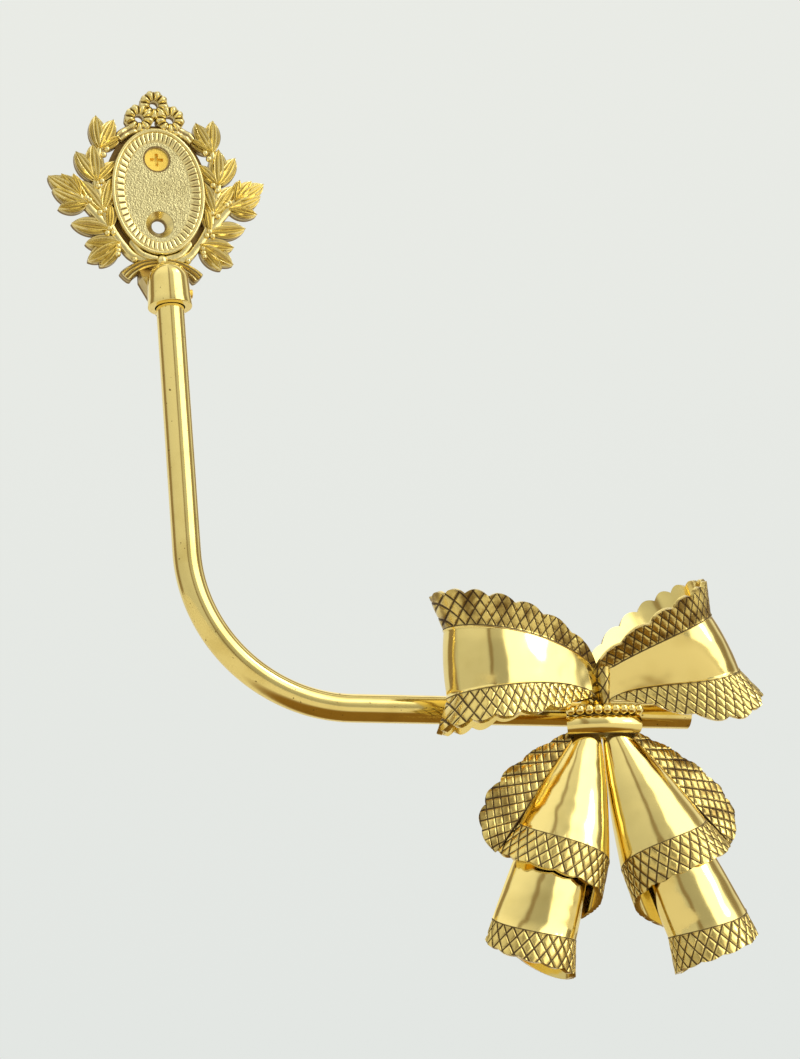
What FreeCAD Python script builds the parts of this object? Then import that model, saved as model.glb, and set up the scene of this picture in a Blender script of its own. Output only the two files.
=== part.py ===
import FreeCAD, Part
import os
from math import cos, degrees, pi, radians, sin, sqrt, tan

Vector = FreeCAD.Vector
os.makedirs("parts", exist_ok=True)

# Curtain holdback of cast and turned brass. The frame has its origin on the wall face, midway between
# the two screw holes: X runs along the wall towards the bow, Y points into the wall, Z is up.

# Wall plate: oval medallion with a raised rim, a sloping fluted ring and a flat field
OVAL_HALF_WIDTH = 15.5
OVAL_HALF_HEIGHT = 21.8
RIM_WIDTH = 1.2
RIM_HEIGHT = 4.6
RING_WIDTH = 3.4
RING_FLOOR = 2.6
FIELD_HEIGHT = 3.6
FLUTES = 54
FLUTE_DEPTH = 0.3
FLUTE_RADIUS = 0.55
GROUND_MARGIN = 2.0
GROUND_THICKNESS = 1.4

# Laurel branches, one side: foot of each tuft and the tips of its leaves, as (x, z)
TUFTS = [
    ((18.7, 14.5), [(19.6, 25.4), (14.0, 24.2), (12.3, 18.7)]),
    ((20.3, 3.1), [(26.3, 12.6), (21.0, 15.2), (14.2, 9.8)]),
    ((18.4, -7.1), [(25.5, 2.9), (15.6, 3.6)]),
    ((25.8, -2.2), [(35.4, 4.0), (31.3, 4.6), (27.6, 4.8)]),
    ((23.6, -5.0), [(34.0, -0.4), (32.3, -6.4)]),
    ((16.6, -13.2), [(28.2, -11.6), (16.0, -5.4)]),
    ((13.4, -17.8), [(23.9, -18.2), (23.4, -23.9), (19.6, -25.4)]),
]
LEAF_WIDTH_RATIO = 0.4
LEAF_EDGE_HEIGHT = 2.0
LEAF_RIDGE_HEIGHT = 3.4
STEM_WIDTH = 2.0
STEM_HEIGHT = 2.8
BRANCH = [(1.0, -23.4), (8.5, -22.4), (12.4, -18.4), (16.0, -12.5), (18.6, -5.0), (20.2, 4.0), (18.7, 15.5)]
SPRAY = [(14.0, -16.0), (19.0, -10.5), (23.6, -5.0), (27.0, -1.2)]

# Crest of three ribbon loops, and the two ribbon ends under the medallion
CREST_LOOPS = [(0.0, 30.6), (-5.2, 25.6), (5.2, 25.6)]
CREST_LOOP_DIAMETER = 9.2
CREST_HOLE_DIAMETER = 3.0
CREST_HEIGHT = 3.2
CREST_RIBBON = [(3.0, 22.2), (8.4, 21.4), (12.6, 18.4)]
CREST_RIBBON_WIDTH = 3.2
LOWER_RIBBON = [(0.6, -24.2), (6.0, -25.4), (10.2, -28.0), (11.6, -29.4)]
LOWER_RIBBON_WIDTH = 3.4
DROP_DIAMETER = 3.6

# Tongue below the medallion that carries the arm socket
TONGUE_TOP = -20.0
TONGUE_SLOPE_TOP = -25.0
TONGUE_SHOULDER = -31.0
TONGUE_TIP = -45.0
TONGUE_HALF_WIDTH = 7.6
TONGUE_THICKNESS = 8.0

# Countersunk wall screws
HOLE_SPACING = 22.6
HOLE_DIAMETER = 4.6
COUNTERSINK_DIAMETER = 9.0
SCREW_HEAD_DIAMETER = 8.0
SCREW_SHANK_DIAMETER = 4.0
SCREW_LENGTH = 25.0
SCREW_POINT = 4.0
CROSS_LENGTH = 4.4
CROSS_WIDTH = 1.1
CROSS_DEPTH = 1.2

# Arm: a round tube that leaves the socket downwards, leaning off the wall, and turns sideways
TUBE_DIAMETER = 9.0
TUBE_WALL = 1.0
ARM_LEAN = radians(5.0)
ARM_DROOP = radians(2.1)
BEND_RADIUS = 62.0
ARM_CORNER_Z = -174.3
ARM_REACH = 161.0

# Socket for the tube, a domed cup brazed to the tongue
SOCKET_DIAMETER = 14.3
SOCKET_CLEARANCE = 0.4
SOCKET_STRAIGHT = 9.0
SOCKET_DEPTH = 11.0
SOCKET_RIM_Z = -43.0
SOCKET_OFFSET = 13.2
GRUB_DIAMETER = 3.0
GRUB_LENGTH = 3.0
GRUB_HEX = 1.5
GRUB_HEIGHT = 5.0

# Bow casting: place of the knot on the arm
BOW_PLACE = 124.7
KNOT_FORWARD = 15.3
KNOT_DROP = 5.6
SHEET = 1.8

# Knot: a bowed block with a half-round band and a row of beads
KNOT_RADIUS = 30.0
KNOT_ANGLE = radians(48.0)
KNOT_PROUD = 4.6
KNOT_DEPTH = 5.2
KNOT_INSET = 1.0
KNOT_TOP = 4.4
BAND_TOP = 1.8
BAND_BOTTOM = -4.4
BAND_BULGE = 1.8
BAND_INSET = 0.5
BEADS = 9
BEAD_DIAMETER = 3.0
BEAD_SIDES = 10
BOSS_DIAMETER = 10.0
SADDLE_LIP = 1.5
CORE_DIAMETER = 6.0
CORE_HEIGHT = 8.0
THROAT_HALF_WIDTH = 4.4
THROAT_HALF_DEPTH = 2.9
BOW_SCREW_DIAMETER = 4.0
BOW_SCREW_DEPTH = 8.0
BOW_SCREW_HEAD = 7.0
BOW_SCREW_HEAD_HEIGHT = 2.4
BOW_SCREW_SLOT = 1.0
BOW_SCREW_CLEARANCE = 0.2

# Ribbon loops: a smooth band between two scalloped lace borders
LOOP_FRONT = 11.5
LOOP_BACK = 6.5
LOOP_ROOT_GAP = 2.4
LACE_FLARE = radians(20.0)
LACE_ROOT = 1.0
UPPER_LACE_GROWTH = 0.45
LOWER_LACE_GROWTH = 0.4
LOWER_LACE_BELLY = 2.4
LOOP_ARCH = 2.2
BAND_ROOT = 3.6
LOOP_SCALLOPS = 14
LOOP_SCALLOP_DEPTH = 1.8
LOOP_SCALLOP_SHARE = 0.2
LEFT_REACH = 49.5
LEFT_LIFT = radians(1.0)
LEFT_RISE = 0.2
LEFT_ROLL = radians(0.0)
LEFT_GROWTH = 0.85
LEFT_BAND = 10.6
LEFT_LACE = 12.0
RIGHT_REACH = 48.0
RIGHT_LIFT = radians(28.0)
RIGHT_RISE = -0.14
RIGHT_ROLL = radians(10.0)
RIGHT_GROWTH = 1.15
RIGHT_BAND = 9.8
RIGHT_LACE = 12.5
ROOT_SPREAD = 0.4
ROOT_HEIGHT = 8.8

# Tails: each a flared skirt with a lace hem, a lace wing along its crease and a rolled end below.
# An oval is given by its centre x, half width, centre y and half depth.
TAIL_SPREAD = 4.2
TAIL_BACKSET = 1.2
TAIL_TOP = -2.5
TAIL_SCALLOP_DEPTH = 1.4
SKIRT_TURN = radians(264.0)
SKIRT_NECK_OVAL = (TAIL_SPREAD, 3.8, -TAIL_BACKSET, 2.6)
SKIRT_NECK_WALL = 1.2
SKIRT_SWELL = 0.9
SKIRT_WAIST_OVAL = (16.4, 14.2, -4.4, 9.6)
SKIRT_WAIST_Z = -31.0
SKIRT_WAIST_DROP = 21.0
SKIRT_HEM_OVAL = (22.0, 16.4, -4.5, 10.5)
SKIRT_HEM_Z = -39.4
SKIRT_HEM_DROP = 25.5
SKIRT_SCALLOPS = 9
ROLL_TURN = radians(282.0)
ROLL_NECK_OVAL = (TAIL_SPREAD, 2.6, -TAIL_BACKSET, 1.6)
ROLL_NECK_WALL = 0.8
ROLL_SWELL = 2.4
ROLL_WAIST_OVAL = (28.3, 13.0, -5.2, 7.8)
ROLL_WAIST_Z = -60.0
ROLL_WAIST_SAG = 8.0
ROLL_HEM_OVAL = (30.5, 14.0, -5.5, 8.5)
ROLL_HEM_Z = -67.0
ROLL_HEM_DROP = 5.0
ROLL_HEM_SAG = 9.0
ROLL_SCALLOPS = 9
WING_START = Vector(TAIL_SPREAD + 3.4, -TAIL_BACKSET - 1.4, TAIL_TOP - 0.5)
WING_END = Vector(36.8, -6.0, -38.2)
WING_EDGE = [WING_START + Vector(1.0, 1.1, 0.6), Vector(27.0, -0.5, -8.0), Vector(52.0, 0.5, -25.0),
             Vector(39.0, -5.0, -40.2)]
WING_SCALLOPS = 6


def along(points):
    """Smooth curve through the points, one unit of parameter from point to point."""
    spline = Part.BSplineCurve()
    spline.interpolate(Points=points, Parameters=[float(i) for i in range(len(points))])
    return spline


def line(start, end):
    """Straight edge between two points."""
    return Part.LineSegment(start, end).toShape()


def normals(rows):
    """Unit normals at each point of a net of rows."""
    count = len(rows[0])
    result = []
    for j, row in enumerate(rows):
        above = rows[max(j - 1, 0)]
        below = rows[min(j + 1, len(rows) - 1)]
        line_of = []
        for i in range(count):
            forward = row[min(i + 1, count - 1)] - row[max(i - 1, 0)]
            across = below[i] - above[i]
            line_of.append(forward.cross(across).normalize())
        result.append(line_of)
    return result


def facet_solid(rings):
    """Closed solid of triangles over a row of point rings, with flat-folded ends."""
    corners = []
    sides = len(rings[0])
    for one, two in zip(rings, rings[1:]):
        for j in range(sides):
            k = (j + 1) % sides
            corners.append((one[j], one[k], two[j]))
            corners.append((one[k], two[k], two[j]))
    for ring in (rings[0], rings[-1]):
        for j in range(sides // 2 - 1):
            corners.append((ring[j], ring[j + 1], ring[sides - 2 - j]))
            corners.append((ring[j], ring[sides - 2 - j], ring[sides - 1 - j]))
    faces = [Part.Face(Part.makePolygon([p, q, r, p])) for p, q, r in corners]
    shell = Part.makeShell(faces)
    shell.sewShape()
    return Part.makeSolid(shell)


def sheet(rows, walls):
    """Solid sheet over a net of rows, with a wall behind each row."""
    facing = normals(rows)
    inner = [[p - n * wall for p, n in zip(row, face)] for row, face, wall in zip(rows, facing, walls)]
    rings = []
    for i in range(len(rows[0])):
        rings.append([row[i] for row in rows] + [row[i] for row in reversed(inner)])
    return facet_solid(rings)


def scallop(position, count):
    """Height of a scalloped edge, 0 in a notch and 1 on a crown, at a position from 0 to 1."""
    return abs(sin(pi * count * position)) ** 0.8


def mirrored(shape):
    """Copy on the other side of the middle plane."""
    return shape.mirror(Vector(0, 0, 0), Vector(1, 0, 0))


def wall_prism(edges, height):
    """Prism on the wall face over a closed outline."""
    return Part.Face(Part.Wire(edges)).extrude(Vector(0, -height, 0))


def on_wall(point):
    """Point of the wall face from (x, z)."""
    return Vector(point[0], 0, point[1])


def oval(half_width, half_height, height):
    """Closed oval wire parallel to the wall."""
    if half_height > half_width:
        ellipse = Part.Ellipse(Vector(0, -height, half_height), Vector(half_width, -height, 0), Vector(0, -height, 0))
    else:
        ellipse = Part.Ellipse(Vector(half_width, -height, 0), Vector(0, -height, half_height), Vector(0, -height, 0))
    return Part.Wire([ellipse.toShape()])


def oval_prism(half_width, half_height, start, end):
    """Oval block between two heights over the wall."""
    return Part.Face(oval(half_width, half_height, start)).extrude(Vector(0, start - end, 0))


def leaf(foot, tip):
    """Pointed leaf with a ridge along its middle."""
    a = on_wall(foot)
    b = on_wall(tip)
    length = (b - a).Length
    ahead = (b - a).normalize()
    side = Vector(ahead.z, 0, -ahead.x)
    half = length * LEAF_WIDTH_RATIO / 2
    middle = a + ahead * (length * 0.55)
    one = Part.Arc(a, middle + side * half, b).toShape()
    two = Part.Arc(b, middle - side * half, a).toShape()
    blade = wall_prism([one, two], LEAF_RIDGE_HEIGHT)
    out = Vector(0, -1, 0)
    roof = Part.makePolygon([
        a - side * half * 2,
        a - side * half * 2 + out * (LEAF_EDGE_HEIGHT - (LEAF_RIDGE_HEIGHT - LEAF_EDGE_HEIGHT)),
        a + out * LEAF_RIDGE_HEIGHT,
        a + side * half * 2 + out * (LEAF_EDGE_HEIGHT - (LEAF_RIDGE_HEIGHT - LEAF_EDGE_HEIGHT)),
        a + side * half * 2,
        a - side * half * 2,
    ])
    return blade.common(Part.Face(roof).extrude(b - a))


def strip(points, width, height):
    """Flat strip that follows a smooth line on the wall."""
    middle = Part.BSplineCurve()
    middle.interpolate(Points=[on_wall(p) for p in points])
    stations = len(points) * 2
    left = []
    right = []
    for i in range(stations + 1):
        place = middle.FirstParameter + (middle.LastParameter - middle.FirstParameter) * i / stations
        ahead = middle.tangent(place)[0]
        side = Vector(ahead.z, 0, -ahead.x) * (width / 2)
        left.append(middle.value(place) + side)
        right.append(middle.value(place) - side)
    right.reverse()
    outline = [along(left).toShape(), line(left[-1], right[0]), along(right).toShape(), line(right[-1], left[0])]
    return wall_prism(outline, height)


def rod(start, direction, radius, length):
    """Round bar."""
    return Part.makeCylinder(radius, length, start, direction)


# Lines of the arm
DOWN = Vector(0, -sin(ARM_LEAN), -cos(ARM_LEAN))
ALONG = Vector(cos(ARM_DROOP), 0, -sin(ARM_DROOP))
RIM_CENTRE = Vector(0, -SOCKET_OFFSET, SOCKET_RIM_Z)
TUBE_START = RIM_CENTRE - DOWN * SOCKET_DEPTH
CORNER = RIM_CENTRE + DOWN * ((SOCKET_RIM_Z - ARM_CORNER_Z) / cos(ARM_LEAN))
TUBE_END = CORNER + ALONG * (ARM_REACH / cos(ARM_DROOP))
TUBE_RADIUS = TUBE_DIAMETER / 2


def pipe(radius, start, end):
    """Bar along the arm's line, from a start to an end point, with one round bend at the corner."""
    before = (start - CORNER).normalize()
    after = (end - CORNER).normalize()
    turn = pi - before.getAngle(after)
    reach = BEND_RADIUS * tan(turn / 2)
    first = CORNER + before * reach
    last = CORNER + after * reach
    inward = (before + after).normalize()
    centre = CORNER + inward * (BEND_RADIUS / cos(turn / 2))
    disc = Part.Face(Part.Wire([Part.Circle(first, before, radius).toShape()]))
    bend = disc.revolve(centre, (first - centre).cross(last - centre), degrees(turn))
    legs = [rod(first, before, radius, (start - first).Length), rod(last, after, radius, (end - last).Length)]
    return bend.multiFuse(legs).removeSplitter()


# Wall screws sit under the rim of their countersinks
HOLE_Z = HOLE_SPACING / 2
HEAD_TOP = FIELD_HEIGHT - (COUNTERSINK_DIAMETER - SCREW_HEAD_DIAMETER) / 2


def countersunk_hole(z):
    """Cutter for one screw hole."""
    bore = rod(Vector(0, 1, z), Vector(0, -1, 0), HOLE_DIAMETER / 2, RIM_HEIGHT + 2)
    sink = Part.makeCone(0, COUNTERSINK_DIAMETER, COUNTERSINK_DIAMETER,
                         Vector(0, COUNTERSINK_DIAMETER / 2 - FIELD_HEIGHT, z), Vector(0, -1, 0))
    return bore.fuse(sink)


def build_medallion():
    """Oval with its rim, ring and field, cut by the radial flutes."""
    base = oval_prism(OVAL_HALF_WIDTH, OVAL_HALF_HEIGHT, 0, RIM_HEIGHT)
    inner_w = OVAL_HALF_WIDTH - RIM_WIDTH
    inner_h = OVAL_HALF_HEIGHT - RIM_WIDTH
    pocket = oval_prism(inner_w, inner_h, RING_FLOOR, RIM_HEIGHT + 1)
    field_w = inner_w - RING_WIDTH
    field_h = inner_h - RING_WIDTH
    field = Part.makeLoft([oval(inner_w, inner_h, RING_FLOOR), oval(field_w, field_h, FIELD_HEIGHT)], True, True)
    rise = FLUTE_RADIUS - FLUTE_DEPTH
    flutes = []
    for i in range(FLUTES):
        turn = 2 * pi * (i + 0.5) / FLUTES
        start = Vector(inner_w * cos(turn), -RING_FLOOR - rise, inner_h * sin(turn))
        end = Vector(field_w * cos(turn), -FIELD_HEIGHT - rise, field_h * sin(turn))
        flutes.append(rod(start, end - start, FLUTE_RADIUS, (end - start).Length))
    return base.cut(pocket).fuse(field).cut(flutes[0].multiFuse(flutes[1:]))


def build_plate():
    """Cast wall plate."""
    pieces = [oval_prism(OVAL_HALF_WIDTH + GROUND_MARGIN, OVAL_HALF_HEIGHT + GROUND_MARGIN, 0, GROUND_THICKNESS)]
    for foot, tips in TUFTS:
        for tip in tips:
            pieces.append(leaf(foot, tip))
            pieces.append(mirrored(leaf(foot, tip)))
    for points, width in ((BRANCH, STEM_WIDTH), (SPRAY, STEM_WIDTH), (CREST_RIBBON, CREST_RIBBON_WIDTH),
                          (LOWER_RIBBON, LOWER_RIBBON_WIDTH)):
        pieces.append(strip(points, width, STEM_HEIGHT))
        pieces.append(mirrored(strip(points, width, STEM_HEIGHT)))
    for place in CREST_LOOPS:
        pieces.append(rod(on_wall(place), Vector(0, -1, 0), CREST_LOOP_DIAMETER / 2, CREST_HEIGHT))
    drop = Vector(0, 0, LOWER_RIBBON[0][1])
    pieces.append(rod(drop, Vector(0, -1, 0), DROP_DIAMETER / 2, RIM_HEIGHT))
    tongue = [Vector(-TONGUE_HALF_WIDTH, 0, TONGUE_TOP), Vector(-TONGUE_HALF_WIDTH, 0, TONGUE_SHOULDER),
              Vector(0, 0, TONGUE_TIP), Vector(TONGUE_HALF_WIDTH, 0, TONGUE_SHOULDER),
              Vector(TONGUE_HALF_WIDTH, 0, TONGUE_TOP)]
    tongue_base = Part.Face(Part.makePolygon(tongue + tongue[:1]))
    slope = Part.makePolygon([Vector(0, 0, TONGUE_TOP), Vector(0, -GROUND_THICKNESS, TONGUE_TOP),
                              Vector(0, -GROUND_THICKNESS, TONGUE_SLOPE_TOP),
                              Vector(0, -TONGUE_THICKNESS, TONGUE_SHOULDER),
                              Vector(0, -TONGUE_THICKNESS, TONGUE_TIP), Vector(0, 0, TONGUE_TIP),
                              Vector(0, 0, TONGUE_TOP)])
    wedge = Part.Face(slope).extrude(Vector(2 * TONGUE_HALF_WIDTH, 0, 0))
    wedge.translate(Vector(-TONGUE_HALF_WIDTH, 0, 0))
    pieces.append(tongue_base.extrude(Vector(0, -TONGUE_THICKNESS, 0)).common(wedge))
    pieces.append(build_medallion())
    plate = pieces[0].multiFuse(pieces[1:])
    cuts = [countersunk_hole(HOLE_Z), countersunk_hole(-HOLE_Z)]
    for place in CREST_LOOPS:
        cuts.append(rod(on_wall(place) + Vector(0, 1, 0), Vector(0, -1, 0), CREST_HOLE_DIAMETER / 2, CREST_HEIGHT + 2))
    seat = rod(RIM_CENTRE + DOWN * SOCKET_DIAMETER, DOWN * -1, SOCKET_DIAMETER / 2, SOCKET_DIAMETER * 3)
    cuts.append(seat)
    return plate.cut(cuts[0].multiFuse(cuts[1:])).removeSplitter()


def build_wall_screw():
    """Countersunk screw with a cross recess and a plain pointed shank."""
    head_r = SCREW_HEAD_DIAMETER / 2
    shank_r = SCREW_SHANK_DIAMETER / 2
    cone = head_r - shank_r
    points = [Vector(0, -HEAD_TOP, 0), Vector(head_r, -HEAD_TOP, 0), Vector(shank_r, cone - HEAD_TOP, 0),
              Vector(shank_r, SCREW_LENGTH - SCREW_POINT - HEAD_TOP, 0), Vector(0, SCREW_LENGTH - HEAD_TOP, 0)]
    profile = Part.Face(Part.makePolygon(points + points[:1]))
    screw = profile.revolve(Vector(0, 0, 0), Vector(0, 1, 0), 360)
    for width, height in ((CROSS_LENGTH, CROSS_WIDTH), (CROSS_WIDTH, CROSS_LENGTH)):
        screw = screw.cut(Part.makeBox(width, CROSS_DEPTH, height, Vector(-width / 2, -HEAD_TOP, -height / 2)))
    screw.translate(Vector(0, 0, HOLE_Z))
    return screw


GRUB_CENTRE = RIM_CENTRE - DOWN * GRUB_HEIGHT


def build_socket():
    """Domed cup round the end of the tube, with a tapped hole in its side."""
    radius = SOCKET_DIAMETER / 2
    bore = TUBE_RADIUS + SOCKET_CLEARANCE
    up = Vector(0, 0, 1)
    wall = rod(Vector(0, 0, 0), up, radius, SOCKET_STRAIGHT)
    dome = Part.makeSphere(radius, Vector(0, 0, SOCKET_STRAIGHT), up, 0, 90, 360)
    cup = wall.fuse(dome).cut(rod(Vector(0, 0, 0), up, bore, SOCKET_DEPTH)).removeSplitter()
    cup.rotate(Vector(0, 0, 0), Vector(1, 0, 0), -degrees(ARM_LEAN))
    cup.translate(RIM_CENTRE)
    return cup.cut(rod(GRUB_CENTRE, Vector(1, 0, 0), GRUB_DIAMETER / 2, SOCKET_DIAMETER))


def build_grub_screw():
    """Headless screw with a hexagon socket, its flat tip against the tube."""
    start = GRUB_CENTRE + Vector(TUBE_RADIUS, 0, 0)
    screw = rod(start, Vector(1, 0, 0), GRUB_DIAMETER / 2, GRUB_LENGTH)
    corner = GRUB_HEX / sqrt(3)
    outer = start + Vector(GRUB_LENGTH, 0, 0)
    corners = [outer + Vector(0, corner * cos(i * pi / 3), corner * sin(i * pi / 3)) for i in range(7)]
    return screw.cut(Part.Face(Part.makePolygon(corners)).extrude(Vector(-GRUB_HEX, 0, 0)))


# Frame of the bow: the arm's middle line where the knot sits, and the knot's own centre
ARM_POINT = CORNER + ALONG * (BOW_PLACE / cos(ARM_DROOP))
KNOT = ARM_POINT + Vector(0, -KNOT_FORWARD, -KNOT_DROP)
BACK = Vector(0, 1, 0)


def build_tube():
    """Bent tube, drilled across for the bow's screw."""
    tube = pipe(TUBE_RADIUS, TUBE_START, TUBE_END).cut(pipe(TUBE_RADIUS - TUBE_WALL, TUBE_START, TUBE_END))
    hole = rod(ARM_POINT - BACK * TUBE_DIAMETER, BACK, BOW_SCREW_DIAMETER / 2 + BOW_SCREW_CLEARANCE, TUBE_DIAMETER * 2)
    return tube.cut(hole)


def build_bow_screw():
    """Round-headed screw from behind, through the tube and into the bow's boss."""
    seat = ARM_POINT + BACK * TUBE_RADIUS
    shank = rod(seat, BACK * -1, BOW_SCREW_DIAMETER / 2, TUBE_DIAMETER + BOW_SCREW_DEPTH)
    head = rod(seat, BACK, BOW_SCREW_HEAD / 2, BOW_SCREW_HEAD_HEIGHT)
    slot = Part.makeBox(BOW_SCREW_HEAD * 2, BOW_SCREW_HEAD_HEIGHT, BOW_SCREW_SLOT)
    slot.translate(seat + Vector(-BOW_SCREW_HEAD, BOW_SCREW_HEAD_HEIGHT / 2, -BOW_SCREW_SLOT / 2))
    return shank.fuse(head).cut(slot).removeSplitter()


def loop_rows(side, reach, lift, rise, roll, growth, band, lace):
    """Four guide rows of one loop: top edge, two band lines and bottom edge."""
    stations = LOOP_SCALLOPS * 4
    rows = [[], [], [], []]
    for i in range(stations + 1):
        share = i / stations
        t = 2 * pi * share
        swell = max(sin(t / 2), 0.0)
        depth = LOOP_FRONT if t < pi else LOOP_BACK
        ahead = Vector(reach * cos(t / 2) / 2, -depth * cos(t) + LOOP_ROOT_GAP * swell / 2, 0).normalize()
        out = Vector(ahead.y, -ahead.x, 0)
        half = BAND_ROOT + (band - BAND_ROOT) * swell ** growth
        place = Vector(reach * swell, -depth * sin(t) - LOOP_ROOT_GAP * cos(t / 2), 0)
        edges = []
        for lace_growth, belly in ((UPPER_LACE_GROWTH, 0.0), (LOWER_LACE_GROWTH, LOWER_LACE_BELLY)):
            width = LACE_ROOT + (lace - LACE_ROOT) * swell ** lace_growth + belly * sin(pi * swell)
            notch = min(LOOP_SCALLOP_DEPTH, LOOP_SCALLOP_SHARE * width)
            width -= notch * (1 - scallop(share, LOOP_SCALLOPS))
            edges.append(out * (width * sin(LACE_FLARE)) + Vector(0, 0, half + width * cos(LACE_FLARE)))
        rows[0].append(place + edges[0])
        rows[1].append(place + Vector(0, 0, half))
        rows[2].append(place - Vector(0, 0, half))
        rows[3].append(place + Vector(edges[1].x, edges[1].y, -edges[1].z))
    turned = []
    for row in rows:
        turned.append([])
        for p in row:
            rolled = Vector(p.x, p.y * cos(roll) - p.z * sin(roll), p.z * cos(roll) + p.y * sin(roll))
            way = sqrt(max(rolled.x / reach, 0.0))
            arch = 4 * LOOP_ARCH * way * (1 - way)
            lifted = Vector(rolled.x * cos(lift) - rolled.z * sin(lift), rolled.y,
                            rolled.z * cos(lift) + rolled.x * (sin(lift) + rise) + arch)
            turned[-1].append(Vector(side * (lifted.x + ROOT_SPREAD), lifted.y - TAIL_BACKSET, lifted.z + ROOT_HEIGHT))
    if side < 0:
        turned.reverse()
    turned.reverse()
    return turned


def hook(angle, size, z):
    """Point on an oval turn, counted from its outer side over the front to the inner side and the back."""
    return Vector(size[0] + size[1] * cos(angle), size[2] - size[3] * sin(angle), z)


def turn_rows(turn, scallops, ovals, swell, waist_z, hem_z):
    """Four guide rows of a cone-like turn: neck, swollen middle, lace line and hem."""
    neck, waist, hem = ovals
    rows = [[], [], [], []]
    stations = scallops * 4
    for i in range(stations + 1):
        share = i / stations
        angle = turn * share
        notch = TAIL_SCALLOP_DEPTH * (1 - scallop(share, scallops))
        high = hook(angle, neck, TAIL_TOP)
        low = hook(angle, waist, waist_z(share))
        out = Vector(waist[3] * cos(angle), -waist[1] * sin(angle), 0).normalize()
        rows[0].append(high)
        rows[1].append((high + low) * 0.5 + out * swell)
        rows[2].append(low)
        rows[3].append(hook(angle, hem, hem_z(share) + notch))
    return rows


def build_tail():
    """One tail on the right-hand side: skirt, wing and rolled end."""
    skirt = turn_rows(SKIRT_TURN, SKIRT_SCALLOPS, (SKIRT_NECK_OVAL, SKIRT_WAIST_OVAL, SKIRT_HEM_OVAL), SKIRT_SWELL,
                      lambda share: SKIRT_WAIST_Z - SKIRT_WAIST_DROP * share,
                      lambda share: SKIRT_HEM_Z - SKIRT_HEM_DROP * share)
    roll = turn_rows(ROLL_TURN, ROLL_SCALLOPS, (ROLL_NECK_OVAL, ROLL_WAIST_OVAL, ROLL_HEM_OVAL), ROLL_SWELL,
                     lambda share: ROLL_WAIST_Z - ROLL_WAIST_SAG * sin(ROLL_TURN * share / 2),
                     lambda share: ROLL_HEM_Z - ROLL_HEM_DROP * share - ROLL_HEM_SAG * sin(ROLL_TURN * share / 2))
    wing = [[], []]
    stations = WING_SCALLOPS * 4
    for i in range(stations + 1):
        share = i / stations
        rest = 1 - share
        edge = (WING_EDGE[0] * rest ** 3 + WING_EDGE[1] * (3 * rest ** 2 * share)
                + WING_EDGE[2] * (3 * rest * share ** 2) + WING_EDGE[3] * share ** 3)
        inner = WING_START * rest + WING_END * share
        notch = TAIL_SCALLOP_DEPTH * (1 - scallop(share, WING_SCALLOPS)) * min(1.0, 4 * share * rest)
        wing[0].append(inner)
        wing[1].append(edge - (edge - inner).normalize() * notch)
    return [sheet(skirt, (SKIRT_NECK_WALL, SHEET, SHEET, SHEET)), sheet(roll, (ROLL_NECK_WALL, SHEET, SHEET, SHEET)),
            sheet(wing, (SHEET, SHEET))]


def bead(place):
    """Small faceted ball."""
    radius = BEAD_DIAMETER / 2
    rings = []
    for i in range(BEAD_SIDES // 2 + 1):
        slope = pi * (i / (BEAD_SIDES // 2) * 0.94 + 0.03)
        ring = []
        for j in range(BEAD_SIDES):
            turn = 2 * pi * j / BEAD_SIDES
            ring.append(place + Vector(sin(slope) * cos(turn), sin(slope) * sin(turn), cos(slope)) * radius)
        rings.append(ring)
    return facet_solid(rings)


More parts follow.
